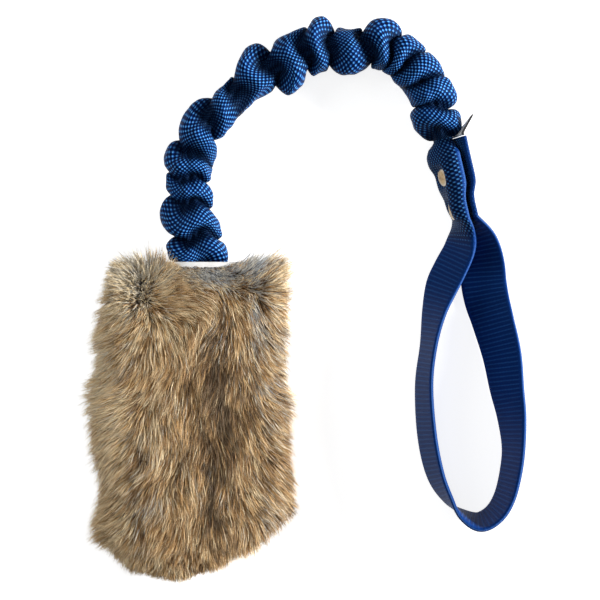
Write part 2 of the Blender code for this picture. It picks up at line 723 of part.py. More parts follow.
def tail_sections(arch, low, high):
    """The sleeve's tail, which goes from a tube at the mouth to flat webbing inside the pouch."""
    start = arch.at(arch.length)
    neck = ELASTIC_DIAMETER + 2 * TUBE_WALL
    flat_at = TAIL_LENGTH * TAIL_FLAT_SHARE
    width = ((0.0, neck), (flat_at, WEBBING_WIDTH))
    thickness = ((0.0, neck), (flat_at, WEBBING_THICKNESS))
    rings = []
    for d in np.linspace(low, high, TAIL_RINGS):
        centre = start + np.array((0.0, -d, 0.0))
        way = np.array((1.0, 0.0, 0.0))
        rings.append(flat_section(centre, way, UP, eased(width, d), eased(thickness, d)))
    return rings


def build_pelt(toy, arch, pelt, materials):
    """Two skins, the seam round them, the webbing's tail and the thread that tacks it."""
    parent = "link_" + str(len(LINK_JOINTS))
    toy.add_joint("pelt_fold", parent, "pelt", arch.at(arch.length), (-1.0, 0.0, 0.0))
    mouth = mesh_from_rings("mouth", mouth_sections(arch))
    cutter = toy.add_mesh("mouth_cutter", mouth, "pelt", None)
    for name, up in (("pelt_front", 1), ("pelt_back", -1)):
        cut(toy.add_mesh(name, pelt.skin_mesh(name, up), "pelt", materials["fur"]), cutter)
    seam = thread_mesh("seam_thread", pelt.seam_points(), THREAD_DIAMETER / 2)
    toy.add_mesh("seam_thread", seam, "pelt", materials["thread"])
    tail = mesh_from_rings("webbing_tail", tail_sections(arch, GAP, TAIL_LENGTH))
    toy.add_mesh("webbing_tail", tail, "pelt", materials["webbing"])
    for name, up in (("tail_thread_front", 1), ("tail_thread_back", -1)):
        toy.add_mesh(name, tail_thread(name, arch, up), "pelt", materials["thread"])


def mouth_sections(arch):
    """The opening inside the pouch: high at the mouth for the last gather, then closing round the tail."""
    start = arch.at(arch.length)
    flat_at = TAIL_LENGTH * TAIL_FLAT_SHARE
    end = TAIL_LENGTH + GAP
    flat_height = WEBBING_THICKNESS + 2 * THREAD_DIAMETER + 4 * GAP
    width = ((0.0, MOUTH_WIDTH), (flat_at, WEBBING_WIDTH + 2 * GAP))
    height = ((0.0, MOUTH_HEIGHT), (flat_at, flat_height))
    rings = []
    for d in np.linspace(-2 * OVERRUN, end, MOUTH_RINGS):
        centre = start + np.array((0.0, -d, 0.0))
        way = np.array((1.0, 0.0, 0.0))
        rings.append(flat_section(centre, way, UP, eased(width, d), eased(height, d)))
    return rings


def tail_thread(name, arch, up):
    """Zigzag stitches on one face of the tail."""
    start = arch.at(arch.length)
    radius = THREAD_DIAMETER / 2
    points = []
    for i in range(2 * TAIL_TACK_ROWS):
        down_share = TACK_START_SHARE + TACK_RUN_SHARE * i / (2 * TAIL_TACK_ROWS)
        down = TAIL_LENGTH * (TAIL_FLAT_SHARE + (1 - TAIL_FLAT_SHARE) * down_share)
        across = WEBBING_WIDTH * TACK_REACH_SHARE * (1 if i % 2 else -1)
        rise = up * (WEBBING_THICKNESS / 2 + GAP + radius)
        points.append(start + np.array((across, -down, rise)))
    return thread_mesh(name, points, radius)


def build_toy():
    clear_scene()
    materials = build_materials()
    toy = Toy()
    neck_height = edge_height(UPPER_LEAN, NECK_THICKNESS)
    mouth_height = PELT_THICKNESS / 2 - PELT_REST_FLAT
    arch = Arch(neck_height, mouth_height)
    handle = Handle(arch.at(0.0))
    build_handle(toy, handle, materials)
    build_label(toy, handle, materials)
    build_bungee(toy, arch, materials)
    build_pelt(toy, arch, Pelt(mouth_height), materials)
    toy.centre_on_ground()
    toy.print_joints()
    print("bungee length", round(arch.length, 4))


build_toy()
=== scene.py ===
"""Looks of the bungee tug toy: ruched webbing, riveted handle loop, bare label and furred pelt pouch.

Metres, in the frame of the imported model. The toy lies on z = 0 and is seen from straight above.
"""
import json
import math

import bpy
import numpy as np
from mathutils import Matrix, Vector

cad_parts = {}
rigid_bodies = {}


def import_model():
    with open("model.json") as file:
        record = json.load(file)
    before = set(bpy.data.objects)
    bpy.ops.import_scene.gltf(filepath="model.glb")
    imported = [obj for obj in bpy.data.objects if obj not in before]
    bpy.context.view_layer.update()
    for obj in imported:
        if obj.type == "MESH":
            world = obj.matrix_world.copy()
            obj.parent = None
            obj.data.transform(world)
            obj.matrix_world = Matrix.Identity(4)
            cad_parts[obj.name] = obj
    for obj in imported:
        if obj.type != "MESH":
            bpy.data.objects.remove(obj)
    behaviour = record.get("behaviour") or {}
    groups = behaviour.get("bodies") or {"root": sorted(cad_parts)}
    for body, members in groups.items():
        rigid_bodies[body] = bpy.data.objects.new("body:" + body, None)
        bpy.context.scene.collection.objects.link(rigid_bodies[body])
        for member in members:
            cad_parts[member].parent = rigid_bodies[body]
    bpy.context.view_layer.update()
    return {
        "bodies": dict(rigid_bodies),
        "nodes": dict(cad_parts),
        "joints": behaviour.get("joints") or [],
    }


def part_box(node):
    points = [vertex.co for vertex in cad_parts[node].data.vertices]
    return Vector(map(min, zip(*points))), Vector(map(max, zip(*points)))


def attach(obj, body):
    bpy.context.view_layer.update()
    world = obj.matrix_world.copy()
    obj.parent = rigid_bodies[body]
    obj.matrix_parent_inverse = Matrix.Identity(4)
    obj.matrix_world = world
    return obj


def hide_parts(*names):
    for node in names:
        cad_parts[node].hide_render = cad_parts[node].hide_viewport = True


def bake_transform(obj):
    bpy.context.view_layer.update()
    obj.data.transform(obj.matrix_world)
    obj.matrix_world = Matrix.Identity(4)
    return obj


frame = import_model()

MM = 0.001
UP = np.array((0.0, 0.0, 1.0))
SEED = 7

# The photograph's view: the point under its middle, how much it spans and the camera's height
VIEW_MIDDLE = (-5.3 * MM, 0.1 * MM)
VIEW_SPAN = 323.5 * MM
VIEW_HEIGHT = 2.4
SENSOR = 36.0
CLIP_START = 0.01

# Webbing and elastic, as the solids have them
WEBBING_WIDTH = 25 * MM
WEBBING_THICKNESS = 2.4 * MM
TUBE_WALL = 1.2 * MM
ELASTIC_DIAMETER = 8 * MM
GAP = 0.3 * MM

# The bungee's route from the pouch's mouth to the neck, in shares of its span and rise
ARCH_ROUTE_SHARES = (
    (0.000, -0.028), (0.000, 0.030), (-0.012, 0.105), (-0.029, 0.195), (-0.041, 0.310), (-0.041, 0.425),
    (-0.018, 0.545), (0.058, 0.683), (0.189, 0.807), (0.346, 0.917), (0.506, 0.982), (0.663, 1.000),
    (0.786, 0.965), (0.881, 0.876), (0.950, 0.757), (0.982, 0.655), (1.000, 0.569),
)
ROUTE_SAMPLES = 40

# Gathers of the sleeve, from the neck to the mouth: where each crest and each notch between two of them
# shows on the outer and on the inner side of the arch
OUTER_CREST_SHARES = (
    (1.074, 0.670), (1.045, 0.812), (0.979, 0.927), (0.901, 1.014), (0.778, 1.119),
    (0.630, 1.069), (0.502, 1.128), (0.403, 1.067), (0.214, 0.994), (0.115, 0.821),
    (-0.041, 0.706), (-0.140, 0.491), (-0.132, 0.385), (-0.156, 0.216), (-0.132, 0.060),
)
OUTER_NOTCH_SHARES = (
    (1.011, 0.702), (1.002, 0.849), (0.923, 0.960), (0.827, 1.023), (0.674, 1.042),
    (0.562, 1.044), (0.449, 1.063), (0.303, 0.950), (0.160, 0.837), (0.070, 0.752),
    (-0.062, 0.560), (-0.103, 0.417), (-0.091, 0.321), (-0.074, 0.138),
)
INNER_CREST_SHARES = (
    (0.868, 0.656), (0.860, 0.755), (0.802, 0.826), (0.760, 0.872), (0.730, 0.888),
    (0.609, 0.858), (0.488, 0.868), (0.376, 0.768), (0.243, 0.752), (0.120, 0.604),
    (0.074, 0.495), (0.053, 0.408), (0.062, 0.303), (0.091, 0.156), (0.123, 0.041),
)
INNER_NOTCH_SHARES = (
    (0.893, 0.717), (0.827, 0.802), (0.786, 0.860), (0.750, 0.884), (0.708, 0.920),
    (0.533, 0.913), (0.439, 0.899), (0.306, 0.821), (0.169, 0.674), (0.043, 0.564),
    (0.052, 0.436), (0.016, 0.365), (0.035, 0.245), (0.074, 0.107),
)
# How high the crests stand, and how high at the mouth, where they ease down from this share of the arch on
CREST_RISE = 0.86 * WEBBING_WIDTH / 2
MOUTH_CREST_RISE = 0.55 * WEBBING_WIDTH / 2
MOUTH_EASE_SHARE = 0.9
# Least reach of a notch or a crest from the arch, and least way along it from one to the next
LEAST_NOTCH = 4.7 * MM
LEAST_STEP = 1.4 * MM
# For each gather: how high it stands, how narrow its crest is, and in millimetres how far it leans
# towards the mouth, strays along the arch on top and twists there
GATHERS = (
    (1.00, 0.50, -2.6, 0.6, -2.0), (1.02, 0.50, -1.6, 0.8, 2.4), (1.06, 0.50, -1.2, -0.4, 2.0),
    (0.98, 0.50, -1.0, 0.6, 2.6), (1.08, 0.50, 0.6, -0.8, 3.0), (0.92, 0.42, -0.8, 0.8, 2.0),
    (1.14, 0.44, 0.8, 0.8, 2.6), (1.02, 0.40, 0.4, -1.0, 4.6), (1.12, 0.50, 1.0, 0.8, 4.8),
    (0.96, 0.50, 1.2, -0.6, 3.0), (1.08, 0.50, 1.4, 1.0, 4.0), (1.02, 0.46, 1.2, -0.6, 3.0),
    (0.96, 0.46, 1.4, 0.6, 3.6), (1.10, 0.52, 2.0, -0.8, 6.4), (1.04, 0.52, 2.0, 0.4, 6.0),
)
# How much narrower the crests are on top, and how much more between the neck and the first of them
TOP_NARROWING = 1.9
FUNNEL_NARROWING = 3.4
# For each notch, from the neck's end to the mouth's: how high it stands on top as a share of the crest,
# how tightly its two flanks meet, and how round its bottom is
NOTCHES = (
    (0.45, 0.1, 0.0), (0.46, 0.5, 0.2), (0.44, 0.6, 0.1), (0.44, 0.6, 0.1),
    (0.46, 0.5, 0.2), (0.50, 0.2, 0.4), (0.44, 0.1, 0.6), (0.56, 0.0, 1.0),
    (0.46, 0.0, 1.0), (0.48, 0.0, 1.0), (0.48, 0.0, 0.9), (0.45, 0.3, 0.4),
    (0.45, 0.4, 0.3), (0.46, 0.3, 0.4), (0.44, 0.1, 0.7), (0.52, 0.0, 0.6),
)
# Small folds in the notches, all round the tube
PUCKERS = 9
PUCKER_DEPTH = 0.45 * MM
PUCKER_POWER = 1.5
# The gathers' lean, stray and twist set in from the arch's ends by this power of a half wave
STRAY_POWER = 0.3
SLEEVE_COLUMNS = 112
ROWS_PER_GATHER = 56
SLEEVE_GIRTH = 60 * MM
WRINKLE_DEPTH = 0.42 * MM
# Waves of a random field: how many, and their least and greatest length
WRINKLE_WAVES = (9, 5 * MM, 11 * MM)
# Wrinkles fade out over this length at the sleeve's ends, and the painted shade in the notches at the mouth
SLEEVE_END_RUN = 5 * MM
CORD_SIDES = 24
CORD_ROWS_PER_LINK = 60
FLOOR_CLEARANCE = 0.05 * MM
SEAM_MARGIN = 0.3 * MM

# Handle
NECK_ANGLE = math.radians(13)
NECK_SWELL_RUN = 9.5 * MM
NECK_THICKNESS = 10 * MM
LOWER_STACK_THICKNESS = 7.5 * MM
UPPER_LEAN = math.radians(24)
LOWER_LEAN = math.radians(13)
REAR_END_SETBACK = 1 * MM
LOOP_LENGTH = 162.5 * MM
LOOP_BREADTH = 48 * MM
# Across and down as shares of the loop, then the lean in degrees, positive towards the loop's inside
LOOP_ROUTE = (
    (0.011, 0.047, 28), (-0.022, 0.100, 38), (-0.129, 0.166, 42), (-0.219, 0.223, 40), (-0.303, 0.306, 27),
    (-0.365, 0.415, 17), (-0.416, 0.548, 18), (-0.382, 0.714, 20), (-0.287, 0.844, 18), (-0.140, 0.927, 8),
    (0.006, 0.973, -8), (0.197, 0.998, -19), (0.365, 0.973, -21), (0.483, 0.917, -22), (0.556, 0.831, -23),
    (0.584, 0.748, -25), (0.562, 0.648, -34), (0.511, 0.558, -43), (0.455, 0.445, -53), (0.354, 0.332, -62),
    (0.292, 0.266, -72), (0.258, 0.209, -76), (0.240, 0.146, -70), (0.195, 0.073, -50),
)
# The loop's curve starts and ends this far back along the two ends
LOOP_LEAD = 4.5 * MM
STRAP_RING_STEP = 0.34 * MM
RIB_PITCH = 1.36 * MM
RIB_HEIGHT = 0.07 * MM
RIB_EDGE_POWER = 8
# One quarter of the flat webbing's section: across and through, thinner towards the selvedge
FLAT_QUARTER_SHARES = (
    (0.12, 1.0), (0.34, 1.0), (0.56, 1.0), (0.74, 1.0), (0.84, 0.99), (0.90, 0.96),
    (0.94, 0.90), (0.97, 0.78), (0.99, 0.58), (1.0, 0.24),
)
THICK_POWER = 2.2
# The strap has its thick section from this share of the lower stack's thickness on
THICK_FROM_SHARE = 0.95
# Where the smooth selvedge and the painted pale highlight along the edge come in across flat webbing, and
# where that painted highlight comes in across thick webbing and through it
SELVEDGE_SHARES = (0.80, 0.90)
EDGE_HIGHLIGHT_SHARES = (0.975, 1.0)
THICK_EDGE_HIGHLIGHT_SHARES = (0.80, 0.88)
THICK_REAR_SHARES = (0.05, 0.13)
# How strongly the smooth selvedge and the painted edge highlight show, and how far ribs take the place of
# floats on the flat webbing of the loop
SELVEDGE_SHOWN = 0.4
EDGE_HIGHLIGHT_SHOWN = 0.88
RIBBED = 0.9
# Painted shade that darkens the strap towards its gaps' colour: a little all over, more at the neck, and
# low on the front end, where the painted shade comes in between two shares across
STRAP_SHADE = 0.40
NECK_SHADE = 0.55
LOW_FRONT_SHADE = 0.42
SHADED_SHARES = (-0.1, -0.55)

# Rivets
RIVET_CAP_DIAMETER = 10 * MM
RIVET_CAP_HEIGHT = 1.4 * MM
RIVET_DOME_HEIGHT = 0.75 * MM
RIVET_POST_DIAMETER = 3.2 * MM
RIVET_SOCKET_DEPTH = 0.9 * MM
RIVET_FIRST = 20 * MM
RIVET_PITCH = 18.7 * MM
RIVET_LAND = 0.6 * MM
RIVET_SEGMENTS = 56
RIVET_SHARP = math.radians(35)
# The front end puffs up between the rivets, round a dimple at each
PUFF_BY_RIVET = 2.0 * MM
PUFF_END_RUN = 8 * MM
DIMPLE_RADIUS = 8.0 * MM
DIMPLE_SHARES = (0.55, 1.0)
# The webbing bulges over the upper side of each cap: how far, and from which share across. There it comes
# in over a further share across, and fades along the strap
HOODS = ((1.8 * MM, 0.22), (2.7 * MM, 0.10))
HOOD_SHARE = 0.32
HOOD_RUN = 7.5 * MM
LEAN_LAND = 1.5 * MM
NECK_BULGE = 3.2 * MM
NECK_BULGE_AT = 8.5 * MM
NECK_BULGE_RUN = 8 * MM
NECK_BULGE_POWER = 4
NECK_BULGE_SHARE = 0.6

# Label
LABEL_WIDTH = 21 * MM
LABEL_THICKNESS = 0.9 * MM
LABEL_TURN = math.radians(50)
LABEL_PLY = 0.28 * MM
LABEL_EDGE = 1.9 * MM
LABEL_EDGE_FADE = 0.19 * MM
LABEL_SHOWN = 11.5 * MM
LABEL_ROWS = 40
LABEL_COLUMNS = 36
LABEL_SHARP = math.radians(50)
# How the two plies come together at the fold, and how the tape sways across its width
LABEL_REACH_POWER = 0.9
LABEL_FOLD_POWER = 3
LABEL_SWAY = 0.6 * MM
LABEL_SWAY_TURN = 2.2
LABEL_TWIST = math.radians(12)
LABEL_TWIST_POWER = 0.3

# Pouch, with the outline's sides and foot in shares of its width and length
PELT_LENGTH = 171 * MM
PELT_WIDTH = 102 * MM
PELT_THICKNESS = 31 * MM
PELT_LEFT_SHARES = (
    (0.00, -0.490), (0.11, -0.500), (0.21, -0.515), (0.34, -0.530), (0.46, -0.550),
    (0.56, -0.540), (0.68, -0.510), (0.78, -0.520), (0.87, -0.520), (1.00, -0.440),
)
PELT_RIGHT_SHARES = (
    (0.00, 0.430), (0.11, 0.455), (0.21, 0.445), (0.34, 0.450), (0.46, 0.465),
    (0.56, 0.475), (0.68, 0.485), (0.77, 0.510), (1.00, 0.510),
)
PELT_FOOT_SHARES = (
    (0.00, 0.87), (0.10, 0.96), (0.30, 1.00), (0.55, 0.965), (0.80, 0.88), (1.00, 0.77),
)
PELT_MOUTH_THICKNESS_SHARE = 0.82
PELT_FOOT_ROUND_SHARE = 0.3
PELT_SIDE_POWER = 3.6
PELT_FOOT_POWER = 2.5
# The skins lie this far under the top of the fur, and their rim this far inside the outline
FUR_DEPTH = 3.8 * MM
RIM_INSET = 5 * MM
HIDE_THICKNESS = 1.8 * MM
# The mouth stands highest over the sleeve and falls away to both sides
MOUTH_MIDDLE = 4 * MM
MOUTH_HALF_WIDTH = 25 * MM
MOUTH_RISE = 11.2 * MM
MOUTH_EDGE_RISE = 4.2 * MM
MOUTH_POWER = 3.0
MOUTH_RUN_SHARE = 0.16
MOUTH_ROLL = 0.9 * MM
# Rows of the bare edge at the mouth, as shares of the way from the hide's inner side to its outer side
MOUTH_EDGE_SHARES = (0.25, 0.5, 0.75)
BARE_BAND_SHARE = 0.012
# Rows of the hide's inner side that are left out at the foot
PELT_FOOT_ROWS = 6
PELT_COLUMNS = 72
PELT_ROWS = 120
# Least half thickness of the pouch's shell, and its least height over the floor
LEAST_SKIN = 0.15 * MM
FLOOR_GAP = 1.0 * MM


def smooth_through(points, samples):
    """Samples of a smooth curve through points of any dimension, the first and last of which it meets."""
    p = np.array(points, dtype=float)
    p = np.vstack([2 * p[0] - p[1], p, 2 * p[-1] - p[-2]])
    t = (np.arange(samples) / samples)[:, None]
    out = []
    for i in range(1, len(p) - 2):
        b = p[i + 1] - p[i - 1]
        c = 2 * p[i - 1] - 5 * p[i] + 4 * p[i + 1] - p[i + 2]
        d = 3 * (p[i] - p[i + 1]) + p[i + 2] - p[i - 1]
        out.append((2 * p[i] + b * t + c * t * t + d * t ** 3) / 2)
    out.append(p[-2][None, :])
    return np.vstack(out)


def share_curve(shares):
    """A smooth function through a table of (place, value)."""
    curve = smooth_through(shares, ROUTE_SAMPLES)
    return lambda at: np.interp(at, curve[:, 0], curve[:, 1])


def eased(table, at):
    """The value at a place in a table of (place, value), which stays level between equal values."""
    for (low, a), (high, b) in zip(table, table[1:]):
        if at <= high:
            t = min(max((at - low) / (high - low), 0.0), 1.0)
            return a + (b - a) * t * t * (3 - 2 * t)
    return table[-1][1]


def smooth_step(low, high, x):
    """Passes smoothly from 0 at low to 1 at high."""
    t = np.clip((x - low) / (high - low), 0.0, 1.0)
    return t * t * (3 - 2 * t)


def smooth_between(at, places, values):
    """Values that pass smoothly from one place to the next."""
    at = np.clip(at, places[0], places[-1])
    low = np.clip(np.searchsorted(places, at, side="right") - 1, 0, len(places) - 2)
    t = (at - places[low]) / (places[low + 1] - places[low])
    return values[low] + (values[low + 1] - values[low]) * t * t * (3 - 2 * t)


def unit(v):
    """Vectors of length one, along the last axis."""
    return v / np.maximum(np.linalg.norm(v, axis=-1, keepdims=True), 1e-12)


def turns(count):
    """Angles of that many places, evenly round a ring."""
    return 2 * math.pi * np.arange(count) / count


def lengths_along(points):
    """How far each point of a path, or each row of a grid on average, lies along it."""
    steps = np.linalg.norm(np.diff(points, axis=0), axis=-1)
    if steps.ndim > 1:
        steps = steps.mean(axis=1)
    return np.concatenate([[0.0], np.cumsum(steps)])


def joint_place(name):
    """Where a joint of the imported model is."""
    found = [joint for joint in frame["joints"] if joint["name"] == name]
    return np.array(found[0]["pos_m"])


def waves(rng, count, low, high):
    """Directions, lengths and starts of a few waves, for a smooth random field over a plane."""
    turn = rng.uniform(0, 2 * math.pi, count)
    number = 2 * math.pi / rng.uniform(low, high, count)
    return number * np.cos(turn), number * np.sin(turn), rng.uniform(0, 2 * math.pi, count)


def wave_field(field, x, y):
    """The field's value, about -1 to 1."""
    kx, ky, start = field
    total = np.zeros(np.shape(x))
    for a, b, c in zip(kx, ky, start):
        total = total + np.sin(a * x + b * y + c)
    return total / math.sqrt(len(kx))


# Materials


class Nodes:
    """The node tree of a material or of the world, with short calls for the nodes used here."""

    def __init__(self, owner):
        owner.use_nodes = True
        self.tree = owner.node_tree

    def add(self, kind, **settings):
        node = self.tree.nodes.new("ShaderNode" + kind)
        for key, value in settings.items():
            setattr(node, key, value)
        return node

    def put(self, value, socket):
        if hasattr(value, "is_linked"):
            self.tree.links.new(value, socket)
        else:
            socket.default_value = value

    def math(self, operation, *values):
        node = self.add("Math", operation=operation)
        for value, socket in zip(values, node.inputs):
            self.put(value, socket)
        return node.outputs[0]

    def wave(self, value, length, shape="SINE"):
        return self.math(shape, self.math("MULTIPLY", value, 2 * math.pi / length))

    def between(self, value, low, high, to_low=0.0, to_high=1.0, smooth=True):
        node = self.add("MapRange", interpolation_type="SMOOTHSTEP" if smooth else "LINEAR")
        for socket, number in zip(node.inputs[1:5], (low, high, to_low, to_high)):
            socket.default_value = number
        self.put(value, node.inputs[0])
        return node.outputs[0]

    def mix(self, share, a, b):
        node = self.add("Mix", data_type="RGBA")
        for value, socket in zip((share, a, b), (node.inputs[0], node.inputs[6], node.inputs[7])):
            self.put((*value, 1.0) if isinstance(value, tuple) else value, socket)
        return node.outputs[2]

    def noise(self, scale, detail, stretch=None):
        node = self.add("TexNoise")
        node.inputs["Scale"].default_value = scale
        node.inputs["Detail"].default_value = detail
        vector = self.add("TexCoord").outputs["Object"]
        if stretch is not None:
            mapping = self.add("Mapping")
            mapping.inputs["Scale"].default_value = stretch
            self.put(vector, mapping.inputs["Vector"])
            vector = mapping.outputs[0]
        self.put(vector, node.inputs["Vector"])
        return node.outputs["Fac"]

    def mark(self, name):
        """A value that the mesh carries at each of its points."""
        return self.add("Attribute", attribute_name=name).outputs["Fac"]

    def uv(self, name):
        return self.split(self.add("UVMap", uv_map=name).outputs[0])

    def place(self):
        """The place along X and Y of the piece itself, for pieces without a weave map."""
        return self.split(self.add("TexCoord").outputs["Object"])

    def split(self, vector):
        node = self.add("SeparateXYZ")
        self.put(vector, node.inputs[0])
        return node.outputs[0], node.outputs[1]

    def ramp(self, value, stops):
        node = self.add("ValToRGB")
        points = node.color_ramp.elements
        while len(points) < len(stops):
            points.new(0.5)
        for point, (place, colour) in zip(points, stops):
            point.position = place
            point.color = (*colour, 1.0)
        self.put(value, node.inputs[0])
        return node.outputs[0]

    def bump(self, height, distance, strength):
        node = self.add("Bump")
        node.inputs["Distance"].default_value = distance
        node.inputs["Strength"].default_value = strength
        self.put(height, node.inputs["Height"])
        return node.outputs[0]


class Surface(Nodes):
    """A material with the shader's own sockets set, and short calls to link its main ones."""

    def __init__(self, name, colour, roughness, **inputs):
        self.material = bpy.data.materials.new(name)
        super().__init__(self.material)
        self.shader = self.tree.nodes["Principled BSDF"]
        self.shader.inputs["Base Color"].default_value = (*colour, 1.0)
        self.shader.inputs["Roughness"].default_value = roughness
        for key, value in inputs.items():
            self.shader.inputs[key.replace("_", " ")].default_value = value

    def colour(self, value):
        self.put(value, self.shader.inputs["Base Color"])

    def rough(self, value):
        self.put(value, self.shader.inputs["Roughness"])

    def normal(self, value):
        self.put(value, self.shader.inputs["Normal"])


# Floats round the tube, how far their rows wander in radians, how far a rib counts as float, and how much
# of the floats' bright tips, partly a painted highlight, it takes away
FLOATS_ROUND = 28
FLOAT_WANDER = 0.9
RIB_AS_FLOAT = 0.74
RIB_DULLING = 0.95
# Periods of the weave's staggered floats, round the tube and along it, then of the other threads
FLOAT_ACROSS = SLEEVE_GIRTH / FLOATS_ROUND
FLOAT_ALONG = 2.4 * MM
BRAID_PITCH = 2.2 * MM
LABEL_RIB_PITCH = 0.5 * MM
LABEL_PICK_PITCH = 0.42 * MM
THREAD_PITCH = 0.8 * MM
# How far the bumps of each material stand out
FLOAT_RELIEF = 0.3 * MM
BRAID_RELIEF = 0.15 * MM
SCRATCH_RELIEF = 0.05 * MM
LABEL_RELIEF = 0.08 * MM
THREAD_RELIEF = 0.08 * MM
NAP_RELIEF = 0.2 * MM
TUFT_RELIEF = 0.8 * MM
# Noise scales, in spots per metre
WEAR_SPOTS = 160.0
YARN_GRAIN = 2600.0
SCRATCHES = 900.0
STAINS = 420.0
NAP_GRAIN = 1500.0
HIDE_SPOTS = 130.0
UNDERFUR_TUFTS = 700.0
UNDERFUR_SPOTS = 45.0


def webbing_material(name, gap, body, tip):
    """Woven polyester: staggered floats over darker gaps, their tips lighter partly by the weave's own
    colour and partly by a painted highlight.
    """
    m = Surface(name, body, 0.42, Specular_IOR_Level=0.12, Specular_Tint=(0.20, 0.54, 1.0, 1.0))
    u, v = m.uv("Weave")
    slow = m.noise(WEAR_SPOTS, 2.0)
    across = m.wave(u, FLOAT_ACROSS, "COSINE")
    shift = m.math("MULTIPLY_ADD", slow, FLOAT_WANDER, m.math("MULTIPLY", v, 2 * math.pi / FLOAT_ALONG))
    along = m.math("COSINE", shift)
    ribbed = m.mark("ribbed")
    across = m.math("MULTIPLY_ADD", ribbed, m.math("SUBTRACT", 1.0, across), across)
    lattice = m.math("MULTIPLY", across, along)
    floats = m.math("MAXIMUM", m.between(lattice, -0.45, 0.6), m.math("MULTIPLY", ribbed, RIB_AS_FLOAT))
    bright = m.math("MULTIPLY_ADD", ribbed, -RIB_DULLING, 1.0)
    # The floats' crowns take the tip colour, which is partly a painted highlight
    crown_highlight = m.math("MULTIPLY", m.between(lattice, 0.35, 0.95), bright)
    yarn = m.noise(YARN_GRAIN, 1.0)
    worn = m.between(slow, 0.35, 0.75)
    shade = m.mix(floats, gap, body)
    shade = m.mix(m.math("MULTIPLY", crown_highlight, m.between(yarn, 0.2, 0.7, 0.55, 1.0)), shade, tip)
    shade = m.mix(m.math("MULTIPLY", worn, 0.25), shade, tuple(0.6 * c for c in body))
    # Painted shade: towards the gaps' colour deep in the sleeve's notches, and on the strap a little all
    # over, more at the neck and low on its front end
    shade = m.mix(m.between(m.mark("painted_shade"), 0.05, 0.75, 0.0, 0.92), shade, gap)
    selvedge_and_highlight = m.mark("selvedge_and_highlight")
    shade = m.mix(m.between(selvedge_and_highlight, 0.05, 0.35, 0.0, 0.85), shade, tuple(0.55 * c for c in body))
    # Painted highlight: a pale blue line along the strap's edge
    shade = m.mix(m.between(selvedge_and_highlight, 0.75, 1.0, 0.0, 0.7), shade, (0.08, 0.19, 0.50))
    m.colour(shade)
    m.rough(m.between(crown_highlight, 0.0, 1.0, 0.55, 0.36))
    height = m.math("MULTIPLY_ADD", yarn, 0.12, floats)
    m.normal(m.bump(height, FLOAT_RELIEF, 0.8))
    return m.material


def elastic_material(name, mapped):
    """Braided cover, with strands that run both ways round the cord."""
    m = Surface(name, (0.035, 0.035, 0.04), 0.7)
    u, v = m.uv("Weave") if mapped else m.place()
    one, other = (m.wave(m.math(sign, u, v), BRAID_PITCH) for sign in ("ADD", "SUBTRACT"))
    lattice = m.math("MULTIPLY", one, other)
    m.colour(m.mix(m.between(lattice, -0.2, 0.6), (0.012, 0.012, 0.014), (0.05, 0.05, 0.055)))
    m.normal(m.bump(lattice, BRAID_RELIEF, 0.7))
    return m.material


def metal_material():
    """Brass, stained and scratched, with a painted highlight on its rim."""
    m = Surface("rivet_metal", (0.36, 0.26, 0.14), 0.34, Metallic=1.0)
    scratch = m.noise(SCRATCHES, 3.0, stretch=(1.0, 7.0, 1.0))
    stain = m.noise(STAINS, 3.0)
    worn = m.mix(m.between(stain, 0.4, 0.75), (0.44, 0.32, 0.17), (0.24, 0.14, 0.06))
    # Painted highlight: paler towards the rim of each dome
    m.colour(m.mix(m.between(m.mark("rim"), 0.55, 0.95), worn, (0.54, 0.48, 0.39)))
    m.rough(m.between(scratch, 0.3, 0.7, 0.26, 0.48))
    m.normal(m.bump(scratch, SCRATCH_RELIEF, 0.5))
    return m.material


def label_material():
    """Satin tape, with fine ribs along its length and a dark stripe along one edge."""
    m = Surface("label_cloth", (0.9, 0.9, 0.89), 0.6, Sheen_Weight=0.3)
    u, v = m.uv("Weave")
    weave = m.math("MULTIPLY", m.wave(u, LABEL_RIB_PITCH), m.wave(v, LABEL_PICK_PITCH))
    cloth = m.mix(m.between(weave, -0.6, 0.8), (0.90, 0.90, 0.90), (0.97, 0.97, 0.97))
    inner = LABEL_WIDTH / 2 - LABEL_EDGE
    m.colour(m.mix(m.between(u, inner - LABEL_EDGE_FADE, inner), cloth, (0.012, 0.012, 0.015)))
    m.normal(m.bump(weave, LABEL_RELIEF, 0.5))
    return m.material


def thread_material():
    """Twisted sewing thread."""
    m = Surface("sewing_thread", (0.55, 0.50, 0.42), 0.65)
    twist = m.wave(m.math("ADD", *m.place()), THREAD_PITCH)
    m.colour(m.mix(m.between(twist, -0.5, 0.7), (0.33, 0.29, 0.23), (0.60, 0.55, 0.46)))
    m.normal(m.bump(twist, THREAD_RELIEF, 0.6))
    return m.material


def bare_hide_material():
    """The suede side and the cut edge of the hide."""
    m = Surface("bare_hide", (0.80, 0.78, 0.74), 0.75, Sheen_Weight=0.2)
    nap = m.noise(NAP_GRAIN, 3.0)
    blotch = m.noise(HIDE_SPOTS, 3.0)
    pale = m.mix(m.between(blotch, 0.35, 0.7), (0.94, 0.94, 0.94), (0.82, 0.80, 0.77))
    m.colour(m.mix(m.between(nap, 0.3, 0.7, 0.0, 0.25), pale, (0.66, 0.65, 0.63)))
    m.normal(m.bump(nap, NAP_RELIEF, 0.5))
    return m.material


def underfur_material():
    """The hide's outer side, seen only in the deep gaps between the hairs."""
    m = Surface("underfur", (0.16, 0.11, 0.07), 0.9)
    tuft = m.noise(UNDERFUR_TUFTS, 4.0)
    blotch = m.noise(UNDERFUR_SPOTS, 3.0)
    brown = m.mix(m.between(blotch, 0.35, 0.65), (0.20, 0.135, 0.08), (0.12, 0.10, 0.085))
    m.colour(m.mix(m.between(tuft, 0.3, 0.75), (0.07, 0.045, 0.026), brown))
    m.normal(m.bump(tuft, TUFT_RELIEF, 0.8))
    return m.material


